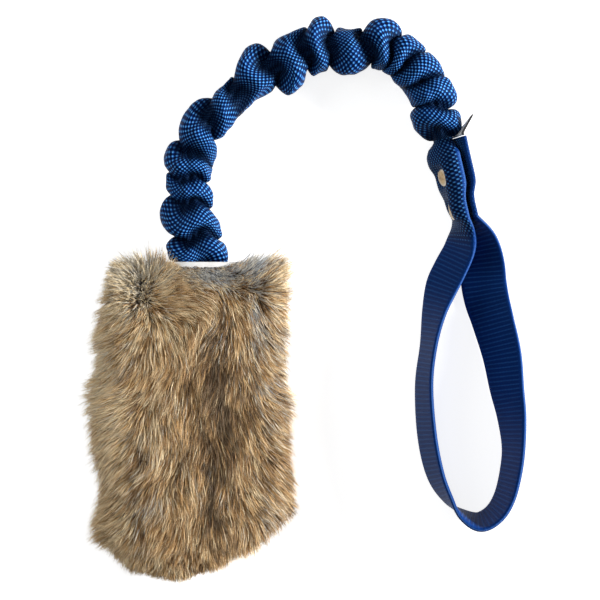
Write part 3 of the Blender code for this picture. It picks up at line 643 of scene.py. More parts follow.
# Tones of the hair: browns from dark to cream up to 0.72, then greys from warm to blue
HAIR_TONES = (
    (0.00, (0.056, 0.026, 0.009)),
    (0.14, (0.118, 0.056, 0.019)),
    (0.30, (0.270, 0.132, 0.042)),
    (0.45, (0.520, 0.280, 0.092)),
    (0.58, (0.760, 0.470, 0.195)),
    (0.67, (1.000, 0.790, 0.460)),
    (0.72, (1.000, 0.920, 0.760)),
    (0.78, (0.800, 0.730, 0.590)),
    (0.86, (0.520, 0.500, 0.450)),
    (0.95, (0.360, 0.410, 0.470)),
    (1.00, (0.640, 0.660, 0.680)),
)


def hair_material():
    """Colour by tone across the map and from root to tip up it: darker at the root, partly the hair's own
    colour and partly painted shade deep in the coat, and paler at the tip.
    """
    m = Surface(
        "hair", (0.4, 0.3, 0.2), 0.55, Sheen_Weight=0.15, Sheen_Roughness=0.5, Specular_IOR_Level=0.2,
    )
    u, v = m.uv("OFBake")
    tone = m.ramp(u, HAIR_TONES)
    # Darker roots: partly the hair's own colour, partly painted shade deep in the coat
    root = m.mix(m.between(v, 0.0, 0.78, 0.94, 0.0), tone, (0.016, 0.009, 0.004))
    m.colour(m.mix(m.between(v, 0.55, 1.0, 0.0, 0.28), root, (0.95, 0.75, 0.47)))
    return m.material


# Meshes


def object_of(name, data, materials=()):
    """A new object in the scene, for a mesh, a lamp or the camera."""
    for material in materials:
        data.materials.append(material)
    piece = bpy.data.objects.new(name, data)
    bpy.context.scene.collection.objects.link(piece)
    return piece


def grid_normals(points, closed=True):
    """Normals of a grid of points, rows along and columns round. Where columns turn left they point out."""
    if closed:
        round_way = np.roll(points, -1, axis=1) - np.roll(points, 1, axis=1)
    else:
        round_way = np.gradient(points, axis=1)
    along_way = np.gradient(points, axis=0)
    return unit(np.cross(round_way, along_way))


def grid_mesh(name, points, uv, materials, normals=None, caps=(False, False), slots=None, marks=()):
    """A mesh from a grid of points, closed round its columns, with a weave map in metres."""
    rows, columns = points.shape[:2]
    index = np.arange(rows * columns).reshape(rows, columns)
    following = np.roll(index, -1, axis=1)
    quads = np.stack([index[:-1], following[:-1], following[1:], index[1:]], axis=-1).reshape(-1, 4)
    faces = quads.tolist()
    if caps[0]:
        faces.append(index[0][::-1].tolist())
    if caps[1]:
        faces.append(index[-1].tolist())
    mesh = bpy.data.meshes.new(name)
    mesh.from_pydata(points.reshape(-1, 3).tolist(), [], faces)
    layer = mesh.uv_layers.new(name="Weave")
    u, v = uv
    corners = np.empty((rows - 1, columns, 4, 2))
    for corner, (aside, ahead) in enumerate(((0, 0), (1, 0), (1, 1), (0, 1))):
        corners[:, :, corner, 0] = u[aside:columns + aside]
        corners[:, :, corner, 1] = v[ahead:rows - 1 + ahead, None]
    flat = np.zeros(2 * len(mesh.loops), np.float32)
    flat[:corners.size] = corners.ravel()
    layer.data.foreach_set("uv", flat)
    mesh.shade_smooth()
    if normals is not None:
        mesh.normals_split_custom_set_from_vertices(normals.reshape(-1, 3).tolist())
    if slots is not None:
        mesh.polygons.foreach_set("material_index", slots.astype(np.int32))
    for title, values in marks:
        layer = mesh.attributes.new(title, "FLOAT", "POINT")
        layer.data.foreach_set("value", values.astype(np.float32).ravel())
    return object_of(name, mesh, materials)


# Bungee


class Arch:
    """The bungee's centreline from the neck round to the pouch, and the gathers along it."""

    def __init__(self, neck, mouth):
        shares = np.array(ARCH_ROUTE_SHARES)
        size = (neck[:2] - mouth[:2]) / (shares[-1] - shares[0])
        origin = mouth[:2] - shares[0] * size
        curve = smooth_through((shares * size + origin)[::-1], ROUTE_SAMPLES)
        self.s = lengths_along(curve)
        self.length = self.s[-1]
        height = neck[2] + (mouth[2] - neck[2]) * self.s / self.length
        self.points = np.column_stack([curve, height])
        self.ways = np.gradient(curve, self.s, axis=0)
        self.outer, self.inner = (
            self.side(np.array(crests) * size + origin, np.array(notches) * size + origin)
            for crests, notches in (
                (OUTER_CREST_SHARES, OUTER_NOTCH_SHARES), (INNER_CREST_SHARES, INNER_NOTCH_SHARES),
            )
        )

    def side(self, crests, notches):
        """Where one side's crests and notches lie along the arch, in turn, and how far each reaches."""
        found = np.zeros((len(crests) + len(notches), 2))
        for row, place in enumerate(np.stack([crests[:-1], notches], axis=1).reshape(-1, 2)):
            found[row] = self.nearest(place)
        found[-1] = self.nearest(crests[-1])
        neck = ELASTIC_DIAMETER / 2 + TUBE_WALL
        found = np.vstack([[0.0, neck], found, [self.length, neck]])
        spare = found[:, 0] - LEAST_STEP * np.arange(len(found))
        spare = np.clip(np.maximum.accumulate(spare), 0.0, spare[-1])
        found[:, 0] = spare + LEAST_STEP * np.arange(len(found))
        found[1:-1, 1] = np.maximum(found[1:-1, 1], LEAST_NOTCH)
        return found

    def nearest(self, place):
        """How far along the arch its nearest point to a place lies, and how far away that is."""
        away = np.linalg.norm(self.points[:, :2] - place, axis=1)
        found = int(np.argmin(away))
        return self.s[found], away[found]

    def at(self, s):
        """Points at some lengths along the arch."""
        return np.stack([np.interp(s, self.s, self.points[:, i]) for i in range(3)], axis=-1)

    def outward(self, s):
        """The level way out of the arch's bend."""
        x, y = (np.interp(s, self.s, self.ways[:, i]) for i in range(2))
        return unit(np.stack([y, -x, np.zeros(np.shape(s))], axis=-1))

    def surface(self, rng):
        """The ruched sleeve as rows that follow the gathers, each a ring of points round the tube.

        Also gives each point's place along the arch, each row's length along the cloth and how deep in a
        notch each point lies, which is the share of painted shade there.
        """
        gathers = np.array(GATHERS)
        notches = np.array(NOTCHES)
        whole = np.arange(1, len(gathers) + 1)
        halves = np.arange(len(notches)) + 0.5
        count = np.linspace(0.5, len(gathers) + 0.5, len(gathers) * ROWS_PER_GATHER + 1)
        turn = turns(SLEEVE_COLUMNS)
        cos, sin = np.cos(turn)[None, :], np.sin(turn)[None, :]
        to_inner = (1 - cos) / 2

        def by_gather(values):
            return smooth_between(count, whole, values)[:, None]

        def by_notch(values):
            return smooth_between(count, halves, values)[:, None]

        tight = by_notch(notches[:, 1])[:, 0]
        phase = count + tight * np.sin(2 * math.pi * count) / (2 * math.pi)
        knots = np.linspace(0.5, len(gathers) + 0.5, len(self.outer))
        along_outer, along_inner = (
            np.interp(phase, knots, side[:, 0])[:, None] for side in (self.outer, self.inner)
        )
        s = along_outer * (1 - to_inner) + along_inner * to_inner

        narrow = TOP_NARROWING + FUNNEL_NARROWING * 2 * np.clip(1 - count, 0.0, 1.0)
        above = np.clip(sin, 0.0, 1.0)
        sharpness = by_gather(gathers[:, 1]) + narrow[:, None] * above ** 2
        puff = np.abs(np.cos(math.pi * count))[:, None] ** sharpness
        rounded = by_notch(notches[:, 2]) * (1 - above)
        puff = puff + (smooth_step(0.0, 1.0, puff) - puff) * rounded
        lean, stray, twist = (by_gather(gathers[:, i]) * MM for i in (2, 3, 4))
        inside = np.clip(np.sin(math.pi * s / self.length), 0.0, 1.0) ** STRAY_POWER
        onto_top = smooth_step(0.0, 1.0, above)
        s = s + (lean * puff ** 2 * onto_top + stray * above ** 2 + twist * 2 * cos * onto_top) * inside

        near_mouth = smooth_step(MOUTH_EASE_SHARE, 1.0, s / self.length)
        top = CREST_RISE + (MOUTH_CREST_RISE - CREST_RISE) * near_mouth
        neck = ELASTIC_DIAMETER / 2 + TUBE_WALL
        crest_reach = np.where(cos > 0, by_gather(self.outer[1::2, 1]), by_gather(self.inner[1::2, 1]))
        notch_reach = np.where(cos > 0, by_notch(self.outer[0::2, 1]), by_notch(self.inner[0::2, 1]))
        crest_top = top * by_gather(gathers[:, 0])
        notch_top = np.maximum(top * by_notch(notches[:, 0]), neck)
        crest = np.hypot(crest_reach * cos, crest_top * sin)
        notch = np.hypot(notch_reach * cos, notch_top * sin)
        radius = notch + np.maximum(crest - notch, 0.0) * puff

        girth = SLEEVE_GIRTH * turn[None, :] / (2 * math.pi)
        field = waves(rng, *WRINKLE_WAVES)
        wrinkle = (wave_field(field, s, girth) + wave_field(field, s, girth - SLEEVE_GIRTH)) / 2
        start = np.interp(count, halves, rng.uniform(0, 2 * math.pi, len(halves)))[:, None]
        pucker = np.sin(PUCKERS * turn[None, :] + start) * (1 - puff) ** PUCKER_POWER
        before_mouth = smooth_step(0.0, SLEEVE_END_RUN, self.length - s)
        fade = smooth_step(0.0, SLEEVE_END_RUN, s) * before_mouth
        radius = radius + fade * (WRINKLE_DEPTH * wrinkle * puff + PUCKER_DEPTH * pucker)
        way = cos[..., None] * self.outward(s) + sin[..., None] * UP
        points = self.at(s) + way * radius[..., None]
        points[..., 2] = np.maximum(points[..., 2], FLOOR_CLEARANCE)
        # The last value is the painted shade: deep in the notches, faded out before the mouth
        return points, s, lengths_along(points), before_mouth * (1 - puff)


def seam_rows(places, marks):
    """The rows whose mean place is nearest to each mark."""
    return [int(np.argmin(np.abs(places - mark))) for mark in marks]


def blend_rows(piece, points, low_row, high_row):
    """Bakes a piece's placement into its mesh; the plane between its first and last row is worked out but
    not used.
    """
    planes = []
    for row in (low_row, high_row):
        ring = points[row]
        way = np.linalg.svd(ring - ring.mean(axis=0))[2][2]
        planes.append(way * np.sign(way @ (points[high_row].mean(axis=0) - points[low_row].mean(axis=0))))
    way = unit(planes[0] + planes[1])
    start = points[low_row].mean(axis=0)
    first = (points[low_row] @ way).max() + SEAM_MARGIN
    start = start + way * (first - start @ way)
    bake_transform(piece)


def build_bungee(arch, webbing, elastic):
    """The sleeve and the cord in it, cut at the middle of each link."""
    rng = np.random.default_rng(SEED)
    links = sum(name.startswith("link_") for name in frame["bodies"])
    marks = [(k + 0.5) * arch.length / links for k in range(links)]

    points, s, along, painted_shade = arch.surface(rng)
    normals = -grid_normals(points)
    u = np.linspace(0.0, SLEEVE_GIRTH, SLEEVE_COLUMNS + 1)
    rows = [0] + seam_rows(s.mean(axis=1), marks) + [len(points) - 1]

    core_s = np.linspace(0.0, arch.length, CORD_ROWS_PER_LINK * links + 1)
    turn = turns(CORD_SIDES)
    spokes = np.cos(turn)[None, :, None] * arch.outward(core_s)[:, None, :]
    spokes = spokes + np.sin(turn)[None, :, None] * UP
    core = arch.at(core_s)[:, None, :] + spokes * (ELASTIC_DIAMETER / 2)
    core_u = np.linspace(0.0, math.pi * ELASTIC_DIAMETER, CORD_SIDES + 1)
    core_rows = [0] + seam_rows(core_s, marks) + [len(core) - 1]

    parts = (
        ("bungee_ruche_", "bungee_sleeve_", points, normals, painted_shade, u, along, rows, webbing),
        ("elastic_cord_", "elastic_core_", core, None, None, core_u, core_s, core_rows, elastic),
    )
    for k in range(len(rows) - 1):
        near = [str(n) for n in (k, k + 1) if 1 <= n <= links]
        for title, node, grid, shading, depth, across, length, cuts, material in parts:
            low, high = cuts[k], cuts[k + 1]
            span = slice(low, high + 1)
            piece = grid_mesh(
                title + str(k), grid[span][:, ::-1], (across[::-1], length[span]), [material],
                normals=None if shading is None else shading[span][:, ::-1],
                marks=() if depth is None else (("painted_shade", depth[span][:, ::-1]),),
            )
            blend_rows(piece, grid, low, high)
            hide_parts(*[node + n for n in near])


# Handle


def lean_frame(along, lean):
    """The level way sideways of webbing that runs along and leans, then its ways across and through."""
    side = np.cross(UP, along)
    width = math.cos(lean) * UP + math.sin(lean) * side
    depth = math.cos(lean) * side - math.sin(lean) * UP
    return side, width, depth


def edge_height(lean, thickness):
    """How high the middle of leaning webbing lies when its edge rests on the floor."""
    return WEBBING_WIDTH / 2 * math.cos(lean) + thickness / 2 * abs(math.sin(lean))


class Handle:
    """The strap's stations: the front end, the loop and the rear end, which lies against the front."""

    def __init__(self, neck):
        self.neck = np.array((neck[0], neck[1], 0.0))
        self.along = np.array((math.sin(NECK_ANGLE), -math.cos(NECK_ANGLE), 0.0))
        land = RIVET_CAP_DIAMETER / 2 + RIVET_LAND
        first = RIVET_FIRST
        second = RIVET_FIRST + RIVET_PITCH
        self.rivets = (first, second)
        self.end = second + land
        self.lean = (
            (0.0, UPPER_LEAN), (first + LEAN_LAND, UPPER_LEAN),
            (second - LEAN_LAND, LOWER_LEAN), (self.end, LOWER_LEAN),
        )
        tube = ELASTIC_DIAMETER + 2 * TUBE_WALL
        self.width = ((0.0, tube), (NECK_SWELL_RUN, WEBBING_WIDTH))
        self.thickness = (
            (0.0, tube), (NECK_SWELL_RUN, NECK_THICKNESS), (first + land, NECK_THICKNESS),
            (second - land, LOWER_STACK_THICKNESS), (second + land, LOWER_STACK_THICKNESS),
        )

    def front(self, d):
        """The front end at a distance from the neck: centre, ways across and through, width, thickness."""
        lean = eased(self.lean, d)
        thickness = eased(self.thickness, d)
        _, width_way, depth_way = lean_frame(self.along, lean)
        centre = self.neck + self.along * d
        centre[2] = edge_height(lean, thickness)
        return centre, width_way, depth_way, eased(self.width, d), thickness

    def rear(self, d):
        """The rear end where it lies against the front end: centre and ways across and through."""
        lean = eased(self.lean, d)
        centre, width_way, depth_way, _, thickness = self.front(d)
        if d < self.rivets[0]:
            thickness = max(thickness, NECK_THICKNESS)
        off = thickness / 2 + GAP + WEBBING_THICKNESS / 2
        height = edge_height(lean, WEBBING_THICKNESS)
        along_width = (height - centre[2] + off * math.sin(lean)) / math.cos(lean)
        return centre + depth_way * off + width_way * along_width, width_way, depth_way

    def loop(self):
        """Stations of the loop, from the front end round to the rear end."""
        ends = [end(d)[0][:2] for d in (self.end - LOOP_LEAD, self.end) for end in (self.front, self.rear)]
        before, after, start, finish = ends
        low = math.degrees(LOWER_LEAN)
        points = [(*before, low), (*start, low)]
        for across, down, lean in LOOP_ROUTE:
            points.append((start[0] + across * LOOP_BREADTH, start[1] - down * LOOP_LENGTH, lean))
        points += [(*finish, -low), (*after, -low)]
        curve = smooth_through(points, ROUTE_SAMPLES)[ROUTE_SAMPLES:-ROUTE_SAMPLES]
        s = lengths_along(curve[:, :2])
        places = np.linspace(0.0, s[-1], int(s[-1] / STRAP_RING_STEP))
        taper = ((0.0, LOWER_STACK_THICKNESS), (RIVET_PITCH, WEBBING_THICKNESS))
        x, y, lean = (np.interp(places, s, curve[:, i]) for i in range(3))
        ways = np.gradient(curve[:, :2], s, axis=0)
        wx, wy = (np.interp(places, s, ways[:, i]) for i in range(2))
        stations = []
        for i in range(1, len(places) - 1):
            along = unit(np.array((wx[i], wy[i], 0.0)))
            angle = math.radians(lean[i])
            thickness = eased(taper, places[i])
            _, width_way, depth_way = lean_frame(along, angle)
            centre = np.array((x[i], y[i], edge_height(angle, thickness)))
            stations.append((centre, width_way, depth_way, WEBBING_WIDTH, thickness))
        return stations

    def stations(self):
        """Every station with its role, and how far down the front end or the rear end it lies."""
        out = []
        for d in np.arange(0.0, self.end, STRAP_RING_STEP):
            out.append((*self.front(d), "front", d))
        out += [(*station, "loop", 0.0) for station in self.loop()]
        for d in np.arange(self.end, REAR_END_SETBACK, -STRAP_RING_STEP):
            centre, width_way, depth_way = self.rear(d)
            out.append((centre, width_way, -depth_way, WEBBING_WIDTH, WEBBING_THICKNESS, "rear", d))
        return out


def quarter_to_ring(quarter):
    """A whole section from one quarter: right top, left top, left bottom, right bottom, turning left."""
    q = np.array(quarter)
    return np.vstack([q[::-1], q * (-1, 1), -q[::-1], q * (1, -1)])


def strap_sections():
    """Unit sections of the flat webbing, of the thick webbing and of the round tube, point for point."""
    flat = quarter_to_ring(FLAT_QUARTER_SHARES)
    steps = (np.arange(len(FLAT_QUARTER_SHARES)) + 0.5) / len(FLAT_QUARTER_SHARES) * math.pi / 2
    power = 2 / THICK_POWER
    thick = quarter_to_ring(np.column_stack([np.sin(steps) ** power, np.cos(steps) ** power]))
    round_one = quarter_to_ring(np.column_stack([np.sin(steps), np.cos(steps)]))
    return flat, thick, round_one


def bulged(handle, section, x, y, d):
    """How far through the strap the front end's face stands, where it puffs up or bulges."""
    facing = np.clip(-section[:, 1], 0.0, 1.0)
    from_neck = float(smooth_step(0.0, NECK_SWELL_RUN, d))
    swell = from_neck * float(smooth_step(handle.end, handle.end - PUFF_END_RUN, d))
    for rivet, (hood, start) in zip(handle.rivets, HOODS):
        swell = swell * smooth_step(*DIMPLE_SHARES, np.hypot(x, d - rivet) / DIMPLE_RADIUS)
        near = math.exp(-((d - rivet) / HOOD_RUN) ** 2)
        y = y - hood * near * smooth_step(start, start + HOOD_SHARE, section[:, 0]) * facing
    y = y - PUFF_BY_RIVET * swell * facing
    bulge = NECK_BULGE * math.exp(-((d - NECK_BULGE_AT) / NECK_BULGE_RUN) ** NECK_BULGE_POWER)
    lower = np.clip(NECK_BULGE_SHARE - section[:, 0], 0.0, 1.0) * facing
    return y - bulge * lower * smooth_step(0.0, NECK_SWELL_RUN / 2, d)


def strap_marks(section, flatness, role, d):
    """How smooth the weave is, how far a painted edge highlight makes it pale, how far painted shade
    darkens it and how ribbed it is at each point of a section.
    """
    across, through = section[:, 0], section[:, 1]
    # The strap's painted shade and painted edge highlight, set by role and by distance from the neck
    highlight_shown, depth, shaded, ribbed = 0.0, STRAP_SHADE, 0.0, 0.0
    if role == "front":
        highlight_shown = EDGE_HIGHLIGHT_SHOWN * float(smooth_step(NECK_SWELL_RUN / 2, NECK_SWELL_RUN, d))
        depth = max(NECK_SHADE * float(smooth_step(NECK_SWELL_RUN, 0.0, d)), STRAP_SHADE)
        shaded = LOW_FRONT_SHADE * (1 - flatness)
    elif role == "loop":
        highlight_shown, ribbed = EDGE_HIGHLIGHT_SHOWN, RIBBED * flatness
    smooth = SELVEDGE_SHOWN * flatness * smooth_step(*SELVEDGE_SHARES, np.abs(across))
    # The pale edge is a painted highlight along the strap's edge
    flat_edge_highlight = smooth_step(*EDGE_HIGHLIGHT_SHARES, across)
    thick_edge_highlight = smooth_step(*THICK_EDGE_HIGHLIGHT_SHARES, across) * smooth_step(*THICK_REAR_SHARES, through)
    selvedge_and_highlight = np.maximum(smooth, highlight_shown * (thick_edge_highlight + (flat_edge_highlight - thick_edge_highlight) * flatness))
    painted_shade = np.maximum(depth, shaded * smooth_step(*SHADED_SHARES, across))
    return selvedge_and_highlight, painted_shade, np.full(len(section), ribbed)


def build_strap(handle, webbing):
    """The strap in one piece, from the front end round the loop to the rear end."""
    flat, thick, round_one = strap_sections()
    stations = handle.stations()
    along = lengths_along(np.array([station[0] for station in stations]))
    rings, marks = [], []
    for place, (centre, width_way, depth_way, width, thickness, role, d) in zip(along, stations):
        full = smooth_step(WEBBING_THICKNESS, LOWER_STACK_THICKNESS * THICK_FROM_SHARE, thickness)
        flatness = float(1 - full)
        section = thick + (flat - thick) * flatness
        if role == "front":
            section = round_one + (section - round_one) * float(smooth_step(0.0, NECK_SWELL_RUN, d))
        x = section[:, 0] * width / 2
        y = section[:, 1] * thickness / 2
        rib = RIB_HEIGHT * math.sin(2 * math.pi * place / RIB_PITCH)
        inside = np.clip(1 - np.abs(section[:, 0]) ** RIB_EDGE_POWER, 0.0, 1.0)
        y = y + np.sign(section[:, 1]) * rib * inside
        if role == "front":
            y = bulged(handle, section, x, y, d)
        rings.append(centre + width_way * x[:, None] + depth_way * y[:, None])
        marks.append(strap_marks(section, flatness, role, d))
    points = np.array(rings)[:, ::-1]
    points[..., 2] = np.maximum(points[..., 2], FLOOR_CLEARANCE)
    selvedge_and_highlight, painted_shade, ribbed = np.array(marks)[:, :, ::-1].transpose(1, 0, 2)
    flat_share, thick_share = WEBBING_THICKNESS / WEBBING_WIDTH, NECK_THICKNESS / WEBBING_WIDTH
    outline = (flat * (1, flat_share) + thick * (1, thick_share)) / 2
    u = lengths_along(np.vstack([outline, outline[:1]]))
    u = u / u[-1] * SLEEVE_GIRTH
    piece = grid_mesh(
        "handle_webbing", points, (u[::-1], -along), [webbing], caps=(False, True),
        marks=(("selvedge_and_highlight", selvedge_and_highlight), ("painted_shade", painted_shade), ("ribbed", ribbed)),
    )
    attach(piece, "handle")
    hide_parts("handle_strap")


def lathe(name, profile, place, turn, material):
    """A turned solid from (radius, height) points, the first and last of which lie on the axis."""
    profile = np.array(profile)
    angles = turns(RIVET_SEGMENTS)
    inside = profile[1:-1]
    ring = np.stack([
        inside[:, :1] * np.cos(angles), inside[:, :1] * np.sin(angles),
        np.repeat(inside[:, 1:], RIVET_SEGMENTS, axis=1),
    ], axis=-1)
    ends = np.array([[0.0, 0.0, profile[0, 1]], [0.0, 0.0, profile[-1, 1]]])
    points = np.vstack([ring.reshape(-1, 3), ends]) @ turn.T + place
    faces = []
    for i in range(len(inside) - 1):
        for j in range(RIVET_SEGMENTS):
            a, b = i * RIVET_SEGMENTS + j, i * RIVET_SEGMENTS + (j + 1) % RIVET_SEGMENTS
            faces.append((a, b, b + RIVET_SEGMENTS, a + RIVET_SEGMENTS))
    first, last = len(points) - 2, len(points) - 1
    top = (len(inside) - 1) * RIVET_SEGMENTS
    for j in range(RIVET_SEGMENTS):
        following = (j + 1) % RIVET_SEGMENTS
        faces.append((first, following, j))
        faces.append((last, top + j, top + following))
    mesh = bpy.data.meshes.new(name)
    mesh.from_pydata(points.tolist(), [], faces)
    mesh.shade_smooth()
    mesh.set_sharp_from_angle(angle=RIVET_SHARP)
    # How far out from the axis each point lies, which sets the painted highlight on the rim
    rim = mesh.attributes.new("rim", "FLOAT", "POINT")
    share = np.append(np.repeat(inside[:, 0], RIVET_SEGMENTS), (0.0, 0.0)) / profile[:, 0].max()
    rim.data.foreach_set("value", share.astype(np.float32))
    return object_of(name, mesh, [material])


# A rivet's dome in shares of its radius and height, from the middle out to the rim that meets the strap
DOME_SHARES = (
    (0.0, 1.0), (0.18, 0.995), (0.36, 0.97), (0.52, 0.925), (0.66, 0.85), (0.78, 0.745),
    (0.88, 0.60), (0.95, 0.44), (0.985, 0.28), (1.0, 0.14), (0.985, 0.04), (0.95, 0.0),
)


def build_rivets(handle, metal):
    """A domed cap with its post in front of the strap, and a domed back behind it, for each rivet."""
    radius = RIVET_CAP_DIAMETER / 2
    post = RIVET_POST_DIAMETER / 2
    socket = post + GAP
    for name, d in zip(("upper", "lower"), handle.rivets):
        centre, width_way, depth_way, _, thickness = handle.front(d)
        stack = thickness + GAP + WEBBING_THICKNESS
        face = centre - depth_way * (thickness / 2)
        turn = np.column_stack([np.cross(width_way, depth_way), width_way, depth_way])
        end = stack + RIVET_SOCKET_DEPTH
        cap = [(radius * r, -GAP - RIVET_DOME_HEIGHT * h) for r, h in DOME_SHARES]
        cap += [(post, -GAP), (post, end), (0.0, end)]
        base = stack + GAP
        back = [(0.0, base + RIVET_SOCKET_DEPTH), (socket, base + RIVET_SOCKET_DEPTH), (socket, base)]
        back += [(radius * r, base + RIVET_CAP_HEIGHT * h) for r, h in DOME_SHARES[::-1]]
        for title, profile in (("rivet_cap_", cap), ("rivet_back_", back)):
            piece = lathe("bright_" + title + name, profile, face, turn, metal)
            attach(piece, "handle")
            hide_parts(title + name)


def build_label(handle, cloth):
    """A folded tape: two plies that lie a little apart at the seam and meet at the outer fold."""
    seam, width_way, _ = handle.rear(REAR_END_SETBACK - GAP)
    side, _, _ = lean_frame(handle.along, UPPER_LEAN)
    out = math.cos(LABEL_TURN) * -handle.along + math.sin(LABEL_TURN) * side
    face = unit(np.cross(width_way, out))
    root = seam + out * (LABEL_THICKNESS / 2)
    t = np.linspace(0.0, 1.0, LABEL_ROWS)
    reach = LABEL_SHOWN * np.sin(math.pi / 2 * t ** LABEL_REACH_POWER)
    lift = (LABEL_THICKNESS / 2 - LABEL_PLY / 2) * np.cos(math.pi / 2 * t ** LABEL_FOLD_POWER)
    line = np.column_stack([np.append(reach, reach[-2::-1]), np.append(lift, -lift[-2::-1])])
    across = np.linspace(-LABEL_WIDTH / 2, LABEL_WIDTH / 2, LABEL_COLUMNS)
    sway = LABEL_SWAY * np.sin(LABEL_SWAY_TURN * across / LABEL_WIDTH * math.pi / 2)
    turn = LABEL_TWIST * (line[:, :1] / LABEL_SHOWN) ** LABEL_TWIST_POWER
    width = width_way * np.cos(turn) + face * np.sin(turn)
    middle = np.empty((len(line), len(across), 3))
    for j, x in enumerate(across):
        curl = sway[j] * (line[:, :1] / LABEL_SHOWN) ** 2
        middle[:, j] = root + out * line[:, :1] + face * (line[:, 1:] + curl) + width * x
    ply = grid_normals(middle, closed=False) * (LABEL_PLY / 2)
    ring = np.concatenate([middle + ply, (middle - ply)[:, ::-1]], axis=1)
    u = np.concatenate([across, across[::-1], across[:1]])
    piece = grid_mesh("bare_label", ring, (u, lengths_along(line)), [cloth], caps=(True, True))
    piece.data.set_sharp_from_angle(angle=LABEL_SHARP)
    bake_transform(piece)
    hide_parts("woven_label")


# Pouch


class Pelt:
    """The pouch's outline and swell. The mouth's middle is its origin, and it hangs towards -Y."""

    def __init__(self, fold):
        shares = np.array(ARCH_ROUTE_SHARES)
        neck = joint_place("handle_swing")
        size = (neck[1] - fold[1]) / (shares[-1, 1] - shares[0, 1])
        self.origin = np.array((fold[0], fold[1] - shares[0, 1] * size, fold[2]))
        self.left = share_curve(PELT_LEFT_SHARES)
        self.right = share_curve(PELT_RIGHT_SHARES)
        self.foot = share_curve(PELT_FOOT_SHARES)

    def place(self, u, v, inset):
        """Shares across and down of a point inside the outline drawn in by some distance."""
        reach = self.foot(u) - inset / PELT_LENGTH
        down = v * reach
        left = self.left(down) + inset / PELT_WIDTH
        right = self.right(down) - inset / PELT_WIDTH
        return left + (right - left) * u, down

    def swell(self, u, v):
        """Half of the thickness of the skins under the fur, which meet at the rim."""
        side = np.maximum(1 - np.abs(2 * u - 1) ** PELT_SIDE_POWER, 0.0) ** 0.5
        rounding = np.maximum(v - (1 - PELT_FOOT_ROUND_SHARE), 0.0) / PELT_FOOT_ROUND_SHARE
        foot = np.maximum(1 - rounding ** PELT_FOOT_POWER, 0.0) ** 0.5
        ease = smooth_step(0.0, PELT_FOOT_ROUND_SHARE, v)
        mouth = PELT_MOUTH_THICKNESS_SHARE + (1 - PELT_MOUTH_THICKNESS_SHARE) * ease
        full = PELT_THICKNESS / 2 - FUR_DEPTH
        return HIDE_THICKNESS + (full - HIDE_THICKNESS) * side * foot * mouth

    def skin(self, u, v, inset):
        """A row of places on the front skin from side to side, with their shares across and down."""
        across, down = self.place(u, v, inset)
        x = across * PELT_WIDTH
        away = np.abs(x - MOUTH_MIDDLE) / MOUTH_HALF_WIDTH
        mouth = MOUTH_EDGE_RISE + (MOUTH_RISE - MOUTH_EDGE_RISE) * np.exp(-away ** MOUTH_POWER)
        swell = self.swell(u, v)
        height = swell + (mouth - swell) * (1 - smooth_step(0.0, MOUTH_RUN_SHARE, v))
        return np.column_stack([x, -down * PELT_LENGTH, height]), np.column_stack([across, down])


def pouch_rings(pelt, inset, skin):
    """Rows round the pouch from the mouth to the foot: over the front skin, then back under it."""
    us = (1 - np.cos(math.pi * np.arange(PELT_COLUMNS + 1) / PELT_COLUMNS)) / 2
    vs = np.linspace(0.0, 1.0, PELT_ROWS + 1)
    rings = []
    for v in vs:
        top = pelt.skin(us, v, inset)[0][1:-1]
        top[:, 2] = np.maximum(top[:, 2] - skin, LEAST_SKIN)
        rings.append(np.vstack([top, (top * (1, 1, -1))[::-1]]))
    return np.array(rings), vs


def build_pouch(pelt, underfur, bare):
    """The two skins, sewn round three sides and open at the mouth, as one shell."""
    outer, vs = pouch_rings(pelt, RIM_INSET, 0.0)
    inner = pouch_rings(pelt, RIM_INSET + HIDE_THICKNESS, HIDE_THICKNESS)[0][:-PELT_FOOT_ROWS]
    edge = []
    for t in MOUTH_EDGE_SHARES:
        ring = inner[0] + (outer[0] - inner[0]) * t
        edge.append(ring + (0.0, MOUTH_ROLL * math.sin(math.pi * t), 0.0))
    points = np.concatenate([inner[::-1], np.array(edge), outer]) + pelt.origin
    points[..., 2] = np.maximum(points[..., 2], FLOOR_GAP)
    points = points[:, ::-1]
    u = np.linspace(0.0, 2 * PELT_WIDTH, points.shape[1] + 1)
    bare_rows = len(inner) + len(edge) + np.count_nonzero(vs < BARE_BAND_SHARE)
    slots = np.where(np.arange(len(points) - 1) < bare_rows, 1, 0)
    slots = np.concatenate([np.repeat(slots, points.shape[1]), [1, 0]])
    uv = (u, lengths_along(points))
    piece = grid_mesh("pouch_skins", points, uv, [underfur, bare], caps=(True, True), slots=slots)
    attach(piece, "pelt")
    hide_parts("pelt_front", "pelt_back")


